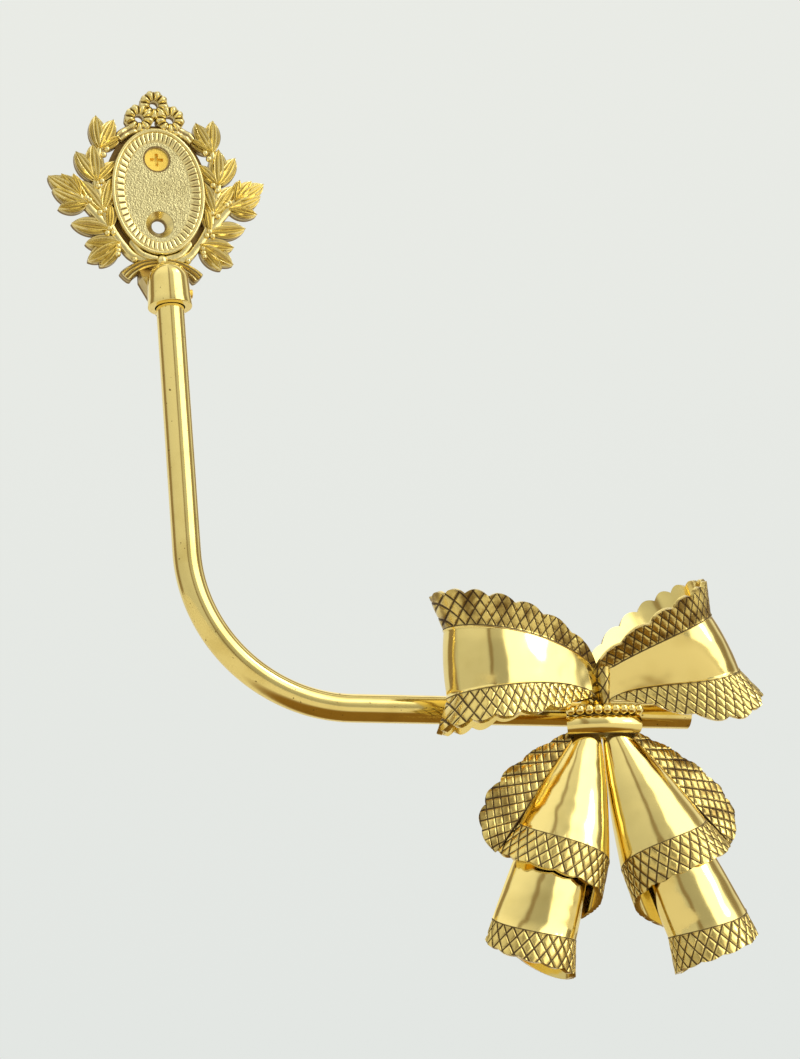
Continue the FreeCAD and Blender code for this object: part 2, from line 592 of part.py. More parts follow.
def build_bow():
    """Bow cast in one piece: two loops, the knot and two tails."""
    axis = Vector(0, KNOT_RADIUS * cos(KNOT_ANGLE / 2) - KNOT_PROUD, 0)
    face = KNOT_RADIUS - KNOT_INSET
    inner = KNOT_RADIUS - KNOT_DEPTH
    block = [Vector(inner, 0, BAND_BOTTOM), Vector(face, 0, BAND_BOTTOM), Vector(face, 0, KNOT_TOP),
             Vector(inner, 0, KNOT_TOP)]
    low = Vector(face - BAND_INSET, 0, BAND_BOTTOM)
    high = Vector(face - BAND_INSET, 0, BAND_TOP)
    crown = Vector(face + BAND_BULGE, 0, (BAND_BOTTOM + BAND_TOP) / 2)
    band = Part.Face(Part.Wire([line(high, low), Part.Arc(low, crown, high).toShape()]))
    solids = []
    for profile in (Part.Face(Part.makePolygon(block + block[:1])), band):
        solid = profile.revolve(Vector(0, 0, 0), Vector(0, 0, 1), degrees(KNOT_ANGLE))
        solid.rotate(Vector(0, 0, 0), Vector(0, 0, 1), -90 - degrees(KNOT_ANGLE) / 2)
        solid.translate(axis)
        solids.append(solid)
    for i in range(BEADS):
        angle = KNOT_ANGLE * ((i + 0.5) / BEADS - 0.5)
        place = axis + Vector(KNOT_RADIUS * sin(angle), -KNOT_RADIUS * cos(angle), KNOT_TOP - BEAD_DIAMETER / 6)
        solids.append(bead(place))
    core = rod(Vector(0, -TAIL_BACKSET, 0), Vector(0, 0, 1), CORE_DIAMETER / 2, CORE_HEIGHT)
    solids.append(core)
    boss_length = KNOT_PROUD + KNOT_FORWARD - SADDLE_LIP
    solids.append(rod(Vector(0, -KNOT_PROUD, KNOT_DROP), BACK, BOSS_DIAMETER / 2, boss_length))
    for side in (-1, 1):
        floor = Vector(side * TAIL_SPREAD, -TAIL_BACKSET, BAND_BOTTOM - 1)
        ellipse = Part.Ellipse(floor + Vector(THROAT_HALF_WIDTH, 0, 0), floor + Vector(0, THROAT_HALF_DEPTH, 0), floor)
        throat = Part.Face(Part.Wire([ellipse.toShape()]))
        solids.append(throat.extrude(Vector(0, 0, BAND_TOP - BAND_BOTTOM + 1)))
    left = loop_rows(-1, LEFT_REACH, LEFT_LIFT, LEFT_RISE, LEFT_ROLL, LEFT_GROWTH, LEFT_BAND, LEFT_LACE)
    right = loop_rows(1, RIGHT_REACH, RIGHT_LIFT, RIGHT_RISE, RIGHT_ROLL, RIGHT_GROWTH, RIGHT_BAND, RIGHT_LACE)
    solids.append(sheet(left, [SHEET] * 4))
    solids.append(sheet(right, [SHEET] * 4))
    for solid in build_tail():
        solids.append(solid)
        solids.append(mirrored(solid))
    bow = solids[0].multiFuse(solids[1:])
    bow.translate(KNOT)
    hole = rod(ARM_POINT, BACK * -1, BOW_SCREW_DIAMETER / 2, TUBE_RADIUS + BOW_SCREW_DEPTH)
    return bow.cut(pipe(TUBE_RADIUS, TUBE_START, TUBE_END).fuse(hole))


def write(shape, name):
    """One file per piece, after a check that it is one sound solid."""
    if not shape.isValid() or len(shape.Solids) != 1:
        raise RuntimeError(name)
    shape.exportStep("parts/" + name + ".step")


write(build_plate(), "wall_plate")
write(build_wall_screw(), "wall_screw")
write(build_socket(), "arm_socket")
write(build_grub_screw(), "socket_grub_screw")
write(build_tube(), "arm_tube")
write(build_bow_screw(), "bow_fixing_screw")
write(build_bow(), "bow_casting")
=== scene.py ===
import logging
from dataclasses import dataclass, field
from enum import Enum
from math import cos, exp, pi, radians, sin, tan
from typing import Callable, Optional, Sequence, Union

import bmesh
import bpy
from mathutils import Matrix, Vector, noise


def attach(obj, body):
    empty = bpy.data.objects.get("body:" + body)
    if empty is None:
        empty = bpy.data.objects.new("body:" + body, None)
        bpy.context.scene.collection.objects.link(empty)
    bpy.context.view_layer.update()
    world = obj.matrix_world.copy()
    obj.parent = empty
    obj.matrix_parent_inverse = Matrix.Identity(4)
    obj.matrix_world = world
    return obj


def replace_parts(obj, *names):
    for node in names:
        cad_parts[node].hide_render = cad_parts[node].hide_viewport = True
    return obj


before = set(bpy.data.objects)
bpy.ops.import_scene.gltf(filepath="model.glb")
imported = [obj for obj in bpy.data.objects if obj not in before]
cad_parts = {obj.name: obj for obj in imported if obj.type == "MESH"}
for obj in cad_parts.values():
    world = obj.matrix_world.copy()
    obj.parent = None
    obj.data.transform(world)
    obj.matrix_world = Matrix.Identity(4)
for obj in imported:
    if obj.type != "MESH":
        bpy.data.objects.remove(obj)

LOG = logging.getLogger("holdback")
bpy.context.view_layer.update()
MM = 0.001
ROOT = "root"
# Per-vertex marks: on the bow the lace's place and share of painted shade with tarnish, on the plate the
# painted shade of grooves.
MARKS = "hatch"
LACE_ALONG = 3.2
LACE_ACROSS = 5.4
UNDERSIDE = 0.2
SCALLOP_POWER = 0.8

Mark = tuple[Vector, Vector]
Spot = Callable[[float, float], Vector]
Marked = Callable[[float, float], Mark]
Colour = tuple[float, float, float]
Range = tuple[float, float]
Oval = tuple[float, float, float, float]


class Side(Enum):
    """Side of the middle plane."""

    LEFT = -1
    RIGHT = 1


class Slot(Enum):
    """Material slot of the record."""

    BOW = "bow_brass"
    PLATE = "plate_brass"
    ARM = "polished_brass"


class Profile(Enum):
    """Profile that is swept round the knot, by its number of corners."""

    SQUARE = 4
    ROUND = 32


# ---- shader graph


class Value:
    """A number or colour socket that can be used in sums."""

    def __init__(self, graph: "Graph", socket: bpy.types.NodeSocket) -> None:
        """Keeps the socket and its tree."""
        self.graph = graph
        self.socket = socket

    def _sum(self, operation: str, first: "Term", second: "Term" = 0.0) -> "Value":
        """Result of one math node."""
        made = self.graph.node("ShaderNodeMath", {"operation": operation}, {0: first, 1: second})
        return Value(self.graph, made.outputs[0])

    def __add__(self, other: "Term") -> "Value":
        """Sum."""
        return self._sum("ADD", self, other)

    def __radd__(self, other: "Term") -> "Value":
        """Sum, with the value second."""
        return self._sum("ADD", other, self)

    def __sub__(self, other: "Term") -> "Value":
        """Difference."""
        return self._sum("SUBTRACT", self, other)

    def __rsub__(self, other: "Term") -> "Value":
        """Difference, with the value second."""
        return self._sum("SUBTRACT", other, self)

    def __mul__(self, other: "Term") -> "Value":
        """Product."""
        return self._sum("MULTIPLY", self, other)

    def __rmul__(self, other: "Term") -> "Value":
        """Product, with the value second."""
        return self._sum("MULTIPLY", other, self)

    def __truediv__(self, other: "Term") -> "Value":
        """Quotient."""
        return self._sum("DIVIDE", self, other)

    def __abs__(self) -> "Value":
        """Size without the sign."""
        return self._sum("ABSOLUTE", self)

    def largest(self, other: "Term") -> "Value":
        """The larger of two values."""
        return self._sum("MAXIMUM", self, other)

    def fraction(self) -> "Value":
        """The part after the decimal point."""
        return self._sum("FRACT", self)

    def step(self, start: float, end: float, low: float = 0.0, high: float = 1.0) -> "Value":
        """Smooth change between two levels.

        Args:
            start: value at which the change starts.
            end: value at which it ends.
            low: level before it.
            high: level past it.

        Returns:
            The level.
        """
        settings = {"interpolation_type": "SMOOTHSTEP"}
        inputs = {"Value": self, "From Min": start, "From Max": end, "To Min": low, "To Max": high}
        return Value(self.graph, self.graph.node("ShaderNodeMapRange", settings, inputs).outputs[0])


Term = Union[Value, float, Sequence[float]]


class Graph:
    """Node tree of one material or world."""

    def __init__(self, tree: bpy.types.NodeTree) -> None:
        """Takes over a tree and empties it."""
        self.tree = tree
        tree.nodes.clear()

    def node(self, kind: str, settings: Optional[dict] = None,
             inputs: Optional[dict] = None) -> bpy.types.Node:
        """Adds a node.

        Args:
            kind: Blender's name of the node type.
            settings: properties, set before the sockets.
            inputs: value, colour, Value or socket for each input.

        Returns:
            The new node.
        """
        made = self.tree.nodes.new(kind)
        for name, setting in (settings or {}).items():
            setattr(made, name, setting)
        for name, term in (inputs or {}).items():
            if isinstance(term, Value):
                self.tree.links.new(term.socket, made.inputs[name])
            elif isinstance(term, bpy.types.NodeSocket):
                self.tree.links.new(term, made.inputs[name])
            else:
                made.inputs[name].default_value = term
        return made

    def coordinates(self, output: str) -> bpy.types.NodeSocket:
        """One output of the texture coordinate node."""
        return self.node("ShaderNodeTexCoord").outputs[output]

    def marks(self) -> tuple[Value, Value, Value]:
        """The three parts of the mark that each vertex carries."""
        return self.parts(self.node("ShaderNodeAttribute", {"attribute_name": MARKS}).outputs["Vector"])

    def camera_ray(self) -> Value:
        """1 where the camera sees a thing itself."""
        return Value(self, self.node("ShaderNodeLightPath").outputs["Is Camera Ray"])

    def parts(self, vector: bpy.types.NodeSocket) -> tuple[Value, Value, Value]:
        """The three parts of a vector."""
        outputs = self.node("ShaderNodeSeparateXYZ", None, {0: vector}).outputs
        return Value(self, outputs[0]), Value(self, outputs[1]), Value(self, outputs[2])

    def noise(self, place: bpy.types.NodeSocket, scale: float, detail: float = 3.0) -> Value:
        """Soft noise over a place."""
        inputs = {"Vector": place, "Scale": scale, "Detail": detail}
        return Value(self, self.node("ShaderNodeTexNoise", None, inputs).outputs[0])

    def blend(self, factor: Term, first: Term, second: Term) -> Value:
        """Mixes two colours.

        Args:
            factor: share of the second colour.
            first: first colour.
            second: second colour.

        Returns:
            The mixed colour.
        """
        pair = [term if isinstance(term, Value) else (*term, 1.0) for term in (first, second)]
        made = self.node("ShaderNodeMix", {"data_type": "RGBA"}, {0: factor, 6: pair[0], 7: pair[1]})
        return Value(self, made.outputs[2])

    def bump(self, height: Value, distance: float) -> bpy.types.NodeSocket:
        """Normal of a small relief."""
        return self.node("ShaderNodeBump", None, {"Height": height, "Distance": distance}).outputs[0]

    def surface(self, inputs: dict) -> None:
        """Ends a material's tree in a surface."""
        made = self.node("ShaderNodeBsdfPrincipled", None, inputs)
        self.node("ShaderNodeOutputMaterial", None, {"Surface": made.outputs[0]})

    def metal(self, colour: Term, roughness: Term, normal: bpy.types.NodeSocket,
              metallic: Term = 1.0) -> None:
        """Ends a material's tree in a metal surface."""
        self.surface({"Base Color": colour, "Roughness": roughness, "Metallic": metallic, "Normal": normal})


# ---- finishes


@dataclass(frozen=True)
class Brass:
    """Polished brass with a faint unevenness.

    Attributes:
        name: name of the material.
        colour: colour of clean metal.
        dull: colour where it has dulled.
        roughness: roughness of clean metal.
        added: roughness added by each kind of mark, such as clouds and pits, in the order that dress gives.
        ripple: depth of the unevenness in millimetres.
        ripple_scale: waves per metre.
        specks: share of small dark pits.
        pit: colour of the pits.
        pit_scale: pits per metre.
        pit_range: noise over which a pit starts.
        cloud_scale: dull clouds per metre.
        cloud_range: noise over which the metal dulls.
        dulling: how far it dulls.
    """

    name: str
    colour: Colour = (0.92, 0.74, 0.265)
    dull: Colour = (0.69, 0.51, 0.135)
    roughness: float = 0.09
    added: tuple[float, ...] = (0.07, 0.3)
    ripple: float = 0.7
    ripple_scale: float = 60.0
    specks: float = 0.0
    pit: Colour = (0.16, 0.09, 0.02)
    pit_scale: float = 900.0
    pit_range: Range = (0.73, 0.76)
    cloud_scale: float = 90.0
    cloud_range: Range = (0.45, 0.8)
    dulling: float = 0.6

    def make(self) -> bpy.types.Material:
        """Builds the material.

        Returns:
            The new material.
        """
        material = bpy.data.materials.new(self.name)
        material.use_nodes = True
        self.dress(Graph(material.node_tree))
        return material

    def clean(self, graph: Graph, cloud: Value) -> Value:
        """Colour of the metal with its dull clouds."""
        return graph.blend(cloud.step(*self.cloud_range, 0.0, self.dulling), self.colour, self.dull)

    def rippled(self, graph: Graph, place: bpy.types.NodeSocket) -> bpy.types.NodeSocket:
        """Normal of the uneven polish."""
        return graph.bump(graph.noise(place, self.ripple_scale, 2.0), self.ripple * MM)

    def dress(self, graph: Graph) -> None:
        """Fills the node tree; clouds and pits add roughness.

        Args:
            graph: the material's tree.
        """
        place = graph.coordinates("Object")
        cloud = graph.noise(place, self.cloud_scale)
        pits = graph.noise(place, self.pit_scale, 1.0).step(*self.pit_range, 0.0, self.specks)
        colour = graph.blend(pits, self.clean(graph, cloud), self.pit)
        roughness = self.roughness + self.added[0] * cloud + self.added[1] * pits
        graph.metal(colour, roughness, self.rippled(graph, place))


@dataclass(frozen=True)
class LaceBrass(Brass):
    """Brass of the ribbon: polished band and engraved lace with dark lines, tarnish and painted shade.

    Attributes:
        lace_range: finish mark over which lace starts.
        line: colour of the engraved lines.
        line_cover: how far the lines cover the metal.
        line_range: distance from a diamond's middle over which a line starts.
        border_range: distance from the inner edge over which the border line ends.
        wander: unevenness of the lines.
        wander_scale: its waves per metre.
        patina_and_shade: colour of darkened lace: tarnish in patches, and painted shade on the lace parts
            that lie in shade.
        patina_and_shade_cover: how far that dark colour covers the metal.
        patina_and_shade_scale: patches of that dark colour per metre.
        patina_and_shade_range: noise over which a patch starts.
        lace_dulling: how far clean lace dulls.
        line_matt: how far the lines lose their metal.
    """

    added: tuple[float, ...] = (0.05, 0.10, 0.12, 0.3)
    cloud_scale: float = 70.0
    cloud_range: Range = (0.5, 0.85)
    dulling: float = 0.5
    lace_range: Range = (0.0, 0.9)
    line: Colour = (0.05, 0.021, 0.004)
    line_cover: float = 0.92
    line_range: Range = (0.385, 0.455)
    border_range: Range = (0.6, 0.35)
    wander: float = 0.10
    wander_scale: float = 420.0
    # Dark lace colour: tarnish in noise patches, and painted shade whose share each lace part sets.
    patina_and_shade: Colour = (0.17, 0.09, 0.016)
    patina_and_shade_cover: float = 0.85
    patina_and_shade_scale: float = 160.0
    patina_and_shade_range: Range = (0.38, 0.68)
    lace_dulling: float = 0.5
    line_matt: float = 0.4

    def dress(self, graph: Graph) -> None:
        """Fills the node tree; clouds, lace, tarnish with painted shade, and lines add roughness.

        The marks hold the place along, the distance from the lace's inner edge, and 0 on the band or,
        on lace, 1 plus the share of tarnish and painted shade.

        Args:
            graph: the material's tree.
        """
        place = graph.coordinates("Object")
        along, across, kind = graph.marks()
        lace = kind.step(*self.lace_range)
        first = along / LACE_ALONG + across / LACE_ACROSS
        second = along / LACE_ALONG - across / LACE_ACROSS
        away = abs(first.fraction() - 0.5).largest(abs(second.fraction() - 0.5))
        uneven = self.wander * (graph.noise(place, self.wander_scale, 2.0) - 0.5)
        border = across.step(*self.border_range)
        line = (away + uneven).step(*self.line_range).largest(border) * lace
        # Share of the dark lace colour for each part: painted shade, strongest on the upper lace and wings,
        # with tarnish in noise patches.
        patina_and_shade_share = (kind - 1.0).largest(0.0) * lace
        patina_and_shade_patches = graph.noise(place, self.patina_and_shade_scale).step(*self.patina_and_shade_range) * patina_and_shade_share
        cloud = graph.noise(place, self.cloud_scale)
        dulled = graph.blend(lace * self.lace_dulling, self.clean(graph, cloud), self.dull)
        # Paints the dark colour: tarnish together with painted shade.
        patina_and_shade_colour = graph.blend(patina_and_shade_patches * self.patina_and_shade_cover, dulled, self.patina_and_shade)
        colour = graph.blend(line * self.line_cover, patina_and_shade_colour, self.line)
        roughness = self.roughness + self.added[0] * cloud + self.added[1] * lace
        roughness = roughness + self.added[2] * patina_and_shade_patches + self.added[3] * line
        graph.metal(colour, roughness, self.rippled(graph, place), 1.0 - self.line_matt * line)


@dataclass(frozen=True)
class CastBrass(Brass):
    """Cast brass of the plate, with shade painted into its recesses and low parts.

    Attributes:
        shade_and_pit: colour of the painted shade in recesses and low parts, and of the pits.
        cover: how far the painted shade covers the metal.
        painted_groove_shade_range: mark over which the painted shade of a groove starts.
        floor: height over the back, in millimetres, up to which shade is painted.
        top: height over the back from which no shade is painted.
        back_range: height over which the painted shade starts at the back.
        back_share: share of the painted shade on the back itself.
        waver: unevenness of the painted shade's edge in millimetres.
        grain: depth of the casting grain in millimetres.
        grain_scale: grains per metre.
        pit_ratio: pits for each grain.
        matt: how far the painted shade loses its metal.
    """

    added: tuple[float, ...] = (0.12, 0.25)
    pit_range: Range = (0.5, 0.68)
    cloud_scale: float = 160.0
    cloud_range: Range = (0.4, 0.75)
    dulling: float = 0.7
    # Colour of the painted shade in recesses and low parts, and of the casting pits.
    shade_and_pit: Colour = (0.15, 0.075, 0.015)
    cover: float = 0.85
    painted_groove_shade_range: Range = (0.2, 1.0)
    floor: float = 1.5
    top: float = 2.1
    back_range: Range = (0.02, 0.3)
    back_share: float = 0.3
    waver: float = 0.5
    grain: float = 0.06
    grain_scale: float = 700.0
    pit_ratio: float = 1.3
    matt: float = 0.35

    def dress(self, graph: Graph) -> None:
        """Fills the node tree; clouds and painted shade add roughness. The marks' first part holds the
        painted shade of grooves and recesses.

        Args:
            graph: the material's tree.
        """
        place = graph.coordinates("Object")
        height = graph.parts(place)[1] / -MM
        cloud = graph.noise(place, self.cloud_scale)
        # Painted shade in veins, grooves, slits, stipple and round the screw head, carried by the marks.
        painted_groove_shade = graph.marks()[0].step(*self.painted_groove_shade_range, 0.0, self.cover)
        # Painted shade on the low parts of the relief, weaker on the back face itself.
        deep = (height + self.waver * (cloud - 0.5)).step(self.floor, self.top, self.cover, 0.0)
        dark = (deep * height.step(*self.back_range, self.back_share, 1.0)).largest(painted_groove_shade)
        pitted = graph.noise(place, self.pit_ratio * self.grain_scale, 2.0)
        pits = pitted.step(*self.pit_range, 0.0, self.specks)
        speckled = graph.blend(pits, self.clean(graph, cloud), self.shade_and_pit)
        # Paints that shade over the metal.
        colour = graph.blend(dark, speckled, self.shade_and_pit)
        normal = graph.bump(graph.noise(place, self.grain_scale, 4.0), self.grain * MM)
        roughness = self.roughness + self.added[0] * cloud + self.added[1] * dark
        graph.metal(colour, roughness, normal, 1.0 - self.matt * dark)


# ---- sculpting


class Sculpt:
    """A mesh in millimetres that ends as one object of the scene."""

    ball_segments = (20, 12)
    weld = 1e-4

    def __init__(self) -> None:
        """Starts an empty mesh with its layer of marks."""
        self.mesh = bmesh.new()
        self.marks = self.mesh.verts.layers.float_vector.new(MARKS)

    def grid(self, columns: int, rows: int, place: Marked) -> list[bmesh.types.BMVert]:
        """Lays a grid over a surface.

        Args:
            columns: cells along.
            rows: cells across.
            place: point and mark at a share along and a share across.

        Returns:
            The vertices of the grid.
        """
        verts = bmesh.ops.create_grid(self.mesh, x_segments=columns, y_segments=rows, size=1.0)["verts"]
        for vert in verts:
            spot, mark = place((vert.co.x + 1) / 2, (vert.co.y + 1) / 2)
            vert.co = spot
            vert[self.marks] = mark
        return verts

    def slab(self, columns: int, front: int, back: int, face: Marked, rear: Spot) -> None:
        """Closed slab between a show face and a rear face.

        Args:
            columns: cells along.
            front: cells across the show face.
            back: cells across the rear face.
            face: point and mark of the show face.
            rear: point of the rear face.
        """
        rows = front + back + 2

        def place(share: float, height: float) -> Mark:
            """Point and mark on the way over the show face and back over the rear face.

            Args:
                share: share along.
                height: share of that way.

            Returns:
                Point and mark.
            """
            row = round(height * rows)
            if row <= front:
                return face(share, row / front)
            if row == rows:
                return face(share, 0.0)
            return rear(share, 1 - (row - front - 1) / back), Vector()

        verts = self.grid(columns, rows, place)
        bmesh.ops.remove_doubles(self.mesh, verts=verts, dist=self.weld)
        edges = {edge for vert in verts if vert.is_valid for edge in vert.link_edges if edge.is_boundary}
        if edges:
            bmesh.ops.holes_fill(self.mesh, edges=list(edges), sides=0)

    def ball(self, centre: Vector, diameter: float) -> None:
        """Adds a round bead.

        Args:
            centre: its centre.
            diameter: its diameter.
        """
        around, upright = self.ball_segments
        bmesh.ops.create_uvsphere(self.mesh, u_segments=around, v_segments=upright, radius=diameter / 2,
                                  matrix=Matrix.Translation(centre))

    def mirror(self) -> None:
        """Adds a copy on the other side of the middle plane."""
        whole = list(self.mesh.verts) + list(self.mesh.edges) + list(self.mesh.faces)
        copy = bmesh.ops.duplicate(self.mesh, geom=whole)["geom"]
        verts = [item for item in copy if isinstance(item, bmesh.types.BMVert)]
        bmesh.ops.scale(self.mesh, vec=(-1, 1, 1), verts=verts)

    def move(self, offset: Vector) -> None:
        """Moves the whole mesh."""
        bmesh.ops.translate(self.mesh, vec=offset, verts=self.mesh.verts)

    def finish(self, name: str, material: bpy.types.Material, slot: Slot, sharp: float) -> bpy.types.Object:
        """Makes the object.

        Args:
            name: name of the object.
            material: its finish.
            slot: the record's material slot; not used.
            sharp: angle in degrees from which an edge shows.

        Returns:
            The object, riding on the root body.
        """
        bmesh.ops.scale(self.mesh, vec=(MM, MM, MM), verts=self.mesh.verts)
        bmesh.ops.recalc_face_normals(self.mesh, faces=self.mesh.faces)
        data = bpy.data.meshes.new(name)
        self.mesh.to_mesh(data)
        self.mesh.free()
        data.polygons.foreach_set("use_smooth", [True] * len(data.polygons))
        data.set_sharp_from_angle(angle=radians(sharp))
        data.materials.append(material)
        made = bpy.data.objects.new(name, data)
        bpy.context.scene.collection.objects.link(made)
        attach(made, ROOT)
        LOG.info("%s: %d faces", name, len(data.polygons))
        return made


def normal_of(surface: Spot, share: float, across: float, far: float) -> Vector:
    """Unit normal of a surface by small steps.

    Args:
        surface: the surface.
        share: place along, 0 to 1.
        across: place across, -far to far.
        far: end of the range across.

    Returns:
        The normal.
    """
    step = 1e-3
    ahead = surface(min(share + step, 1.0), across) - surface(max(share - step, 0.0), across)
    aside = surface(share, min(across + step, far)) - surface(share, max(across - step, -far))
    return ahead.cross(aside).normalized()


def scallop(position: float, count: int) -> float:
    """Height of a scalloped edge, 0 in a notch and 1 on a crown."""
    return abs(sin(pi * count * position)) ** SCALLOP_POWER


def smooth_line(points: Sequence[Vector], share: float) -> Vector:
    """Smooth line through some points.

    Args:
        points: the points.
        share: share of the way along.

    Returns:
        The point there.
    """
    last = len(points) - 1
    place = min(max(share, 0.0), 1.0) * last
    index = min(int(place), last - 1)
    rest = place - index
    a, b, c, d = (points[min(max(index + step, 0), last)] for step in (-1, 0, 1, 2))
    cube, square = rest ** 3, rest ** 2
    return (b * (2 * cube - 3 * square + 1) + (c - a) * 0.5 * (cube - 2 * square + rest)
            + c * (3 * square - 2 * cube) + (d - b) * 0.5 * (cube - square))


def plate_point(x: float, z: float, height: float) -> Vector:
    """Point over the plate's back."""
    return Vector((x, -height, z))


# ---- bow


@dataclass
class Engraving:
    """Diamond lines of the lace.

    Attributes:
        along: distance of the lines along the ribbon.
        across: distance of the lines across the ribbon.
        depth: depth of the lines.
        pillow: rounding of the diamonds.
        ridge: height of the thin raised line at the inner edge of the lace.
        ridge_width: its width.
        start: distance from the inner edge at which the lines start.
        start_run: distance over which they reach their depth.
        line_from: place in a diamond at which the line's flank starts.
        line_run: width of the flank.
    """

    along: float = LACE_ALONG
    across: float = LACE_ACROSS
    depth: float = 0.3
    pillow: float = 0.1
    ridge: float = 0.3
    ridge_width: float = 0.4
    start: float = 0.3
    start_run: float = 0.5
    line_from: float = 0.37
    line_run: float = 0.11

    def relief(self, along: float, distance: float) -> float:
        """Height of the lace.

        Args:
            along: place along the ribbon in millimetres.
            distance: distance from the inner edge in millimetres.

        Returns:
            The height over the plain surface.
        """
        lines = [along / self.along + turn * distance / self.across for turn in (1, -1)]
        away = max(abs((line % 1.0) - 0.5) for line in lines)
        start = min(max((distance - self.start) / self.start_run, 0.0), 1.0)
        line = min(max((away - self.line_from) / self.line_run, 0.0), 1.0) * start
        sunk = self.depth * line * line * (3 - 2 * line) + self.pillow * start * (2 * away) ** 2
        return self.ridge * exp(-(distance / self.ridge_width) ** 2) - sunk


@dataclass
class Loop:
    """One loop of the bow: a smooth band between two lace borders, in the bow's own frame.

    Attributes:
        side: side of the knot.
        reach: distance from root to fold.
        lift: turn of the loop upwards, in degrees.
        rise: further rise per millimetre, with the fold kept upright.
        roll: turn about its length, in degrees.
        growth: how fast the band widens.
        band_fold: half width of the band at the fold.
        lace_fold: width of the upper lace at the fold.
        lower_fold: width of the lower lace at the fold.
        belly: further width of the lower lace half way.
        arch: upward bow of the loop near its root.
        sag: further drop of the band's lower edge half way.
        front: depth of the front sheet's bow.
        back: depth of the rear sheet's bow.
        root_gap: distance of both sheets at the root.
        flare: lean of the lace outwards, in degrees.
        lace_root: width of the upper lace at the root.
        upper_growth: how fast the upper lace widens.
        lower_growth: share of the reach over which the lower lace widens.
        back_growth: what the rear sheet adds to it.
        lower_power: how suddenly the lower lace widens.
        belly_power: how far out the belly lies.
        band_root: half width of the band at the root.
        crown: rounding of the band.
        scallops: scallops of each edge.
        scallop_depth: depth of the notches.
        scallop_share: largest depth as a share of the lace.
        root_spread: distance of the root from the middle plane.
        root_height: height of the root over the knot.
        backset: distance of the root behind the knot's centre.
        wall: thickness of the ribbon.
        fade: how fast the engraving fades in at the root.
        upper_mark: finish mark of the upper lace, 1 plus its share of tarnish and painted shade.
        lower_mark: finish mark of the lower lace, 1 plus its share of tarnish and painted shade.
        border: width of the polished ridge at the lace's inner edge.
        columns, lace_rows, band_rows, rear_rows: cells along, and across each lace, band and rear.
        engraving: the lace's lines.
    """

    side: Side
    reach: float
    lift: float
    rise: float
    roll: float
    growth: float
    band_fold: float
    lace_fold: float
    lower_fold: float
    belly: float
    arch: float
    sag: float
    front: float = 11.5
    back: float = 6.5
    root_gap: float = 2.4
    flare: float = 20.0
    lace_root: float = 1.0
    upper_growth: float = 0.45
    lower_growth: float = 0.28
    back_growth: float = 0.4
    lower_power: float = 1.3
    belly_power: float = 1.5
    band_root: float = 3.6
    crown: float = 0.7
    scallops: int = 14
    scallop_depth: float = 1.8
    scallop_share: float = 0.2
    root_spread: float = 0.4
    root_height: float = 8.8
    backset: float = 1.2
    wall: float = 1.8
    fade: float = 8.0
    # The upper lace takes far more painted shade than the lower lace.
    upper_mark: float = 2.0
    lower_mark: float = 1.15
    border: float = 0.2
    columns: int = 300
    lace_rows: int = 26
    band_rows: int = 14
    rear_rows: int = 18
    engraving: Engraving = field(default_factory=Engraving)

    def widths(self, share: float, across: float) -> tuple[float, float]:
        """Widths at a share of the way round.

        Args:
            share: share of the way round.
            across: above 0 for the upper lace, else the lower.

        Returns:
            Half width of the band and width of the lace.
        """
        swell = max(sin(pi * share), 0.0)
        half = self.band_root + (self.band_fold - self.band_root) * swell ** self.growth
        if across > 0:
            return half, self.lace_root + (self.lace_fold - self.lace_root) * swell ** self.upper_growth
        behind = share > 0.5
        quick = self.lower_growth + (self.back_growth * (1 - swell) if behind else 0.0)
        full = self.lower_fold * (1 - exp(-(swell / quick) ** self.lower_power))
        wave = 0.0 if behind else sin(pi * swell ** self.belly_power)
        return half + self.sag * wave, self.lace_root / 2 + full + self.belly * wave

    def surface(self, share: float, across: float) -> Vector:
        """Middle surface of the ribbon.

        Args:
            share: share of the way round.
            across: -1 to 1 on the band and up to 2 on either lace.

        Returns:
            The point.
        """
        turn = 2 * pi * share
        swell = sin(turn / 2)
        depth = self.front if turn < pi else self.back
        forward = -depth * cos(turn) + self.root_gap * swell / 2
        ahead = Vector((self.reach * cos(turn / 2) / 2, forward, 0)).normalized()
        out = Vector((ahead.y, -ahead.x, 0))
        half, lace = self.widths(share, across)
        spot = Vector((self.reach * swell, -depth * sin(turn) - self.root_gap * cos(turn / 2), 0))
        beyond = max(abs(across) - 1, 0.0)
        inside = min(abs(across), 1.0)
        height = half * inside + lace * beyond * cos(radians(self.flare))
        spot += out * (lace * beyond * sin(radians(self.flare)) + self.crown * swell * (1 - inside ** 2))
        spot.z = height if across > 0 else -height
        return self.turned(spot)

    def turned(self, spot: Vector) -> Vector:
        """Rolls and lifts a point and moves it to the root.

        Args:
            spot: point of the level loop.

        Returns:
            The point in the bow's frame.
        """
        roll, lift = radians(self.roll), radians(self.lift)
        y = spot.y * cos(roll) - spot.z * sin(roll)
        z = spot.z * cos(roll) + spot.y * sin(roll)
        x = spot.x * cos(lift) - z * sin(lift)
        way = max(spot.x / self.reach, 0.0) ** 0.5
        z = z * cos(lift) + spot.x * (sin(lift) + self.rise) + 4 * self.arch * way * (1 - way)
        return Vector((self.side.value * (x + self.root_spread), y - self.backset, z + self.root_height))

    def length_to(self, share: float) -> float:
        """Length along the ribbon up to a share of the way round."""
        swell = sin(pi * share)
        return self.reach * (swell if share < 0.5 else 2 - swell) + 0.5 * (self.front + self.back) * share

    def facing(self, share: float, across: float) -> Vector:
        """Outward normal of the ribbon."""
        return normal_of(self.surface, share, across, 2.0) * self.side.value

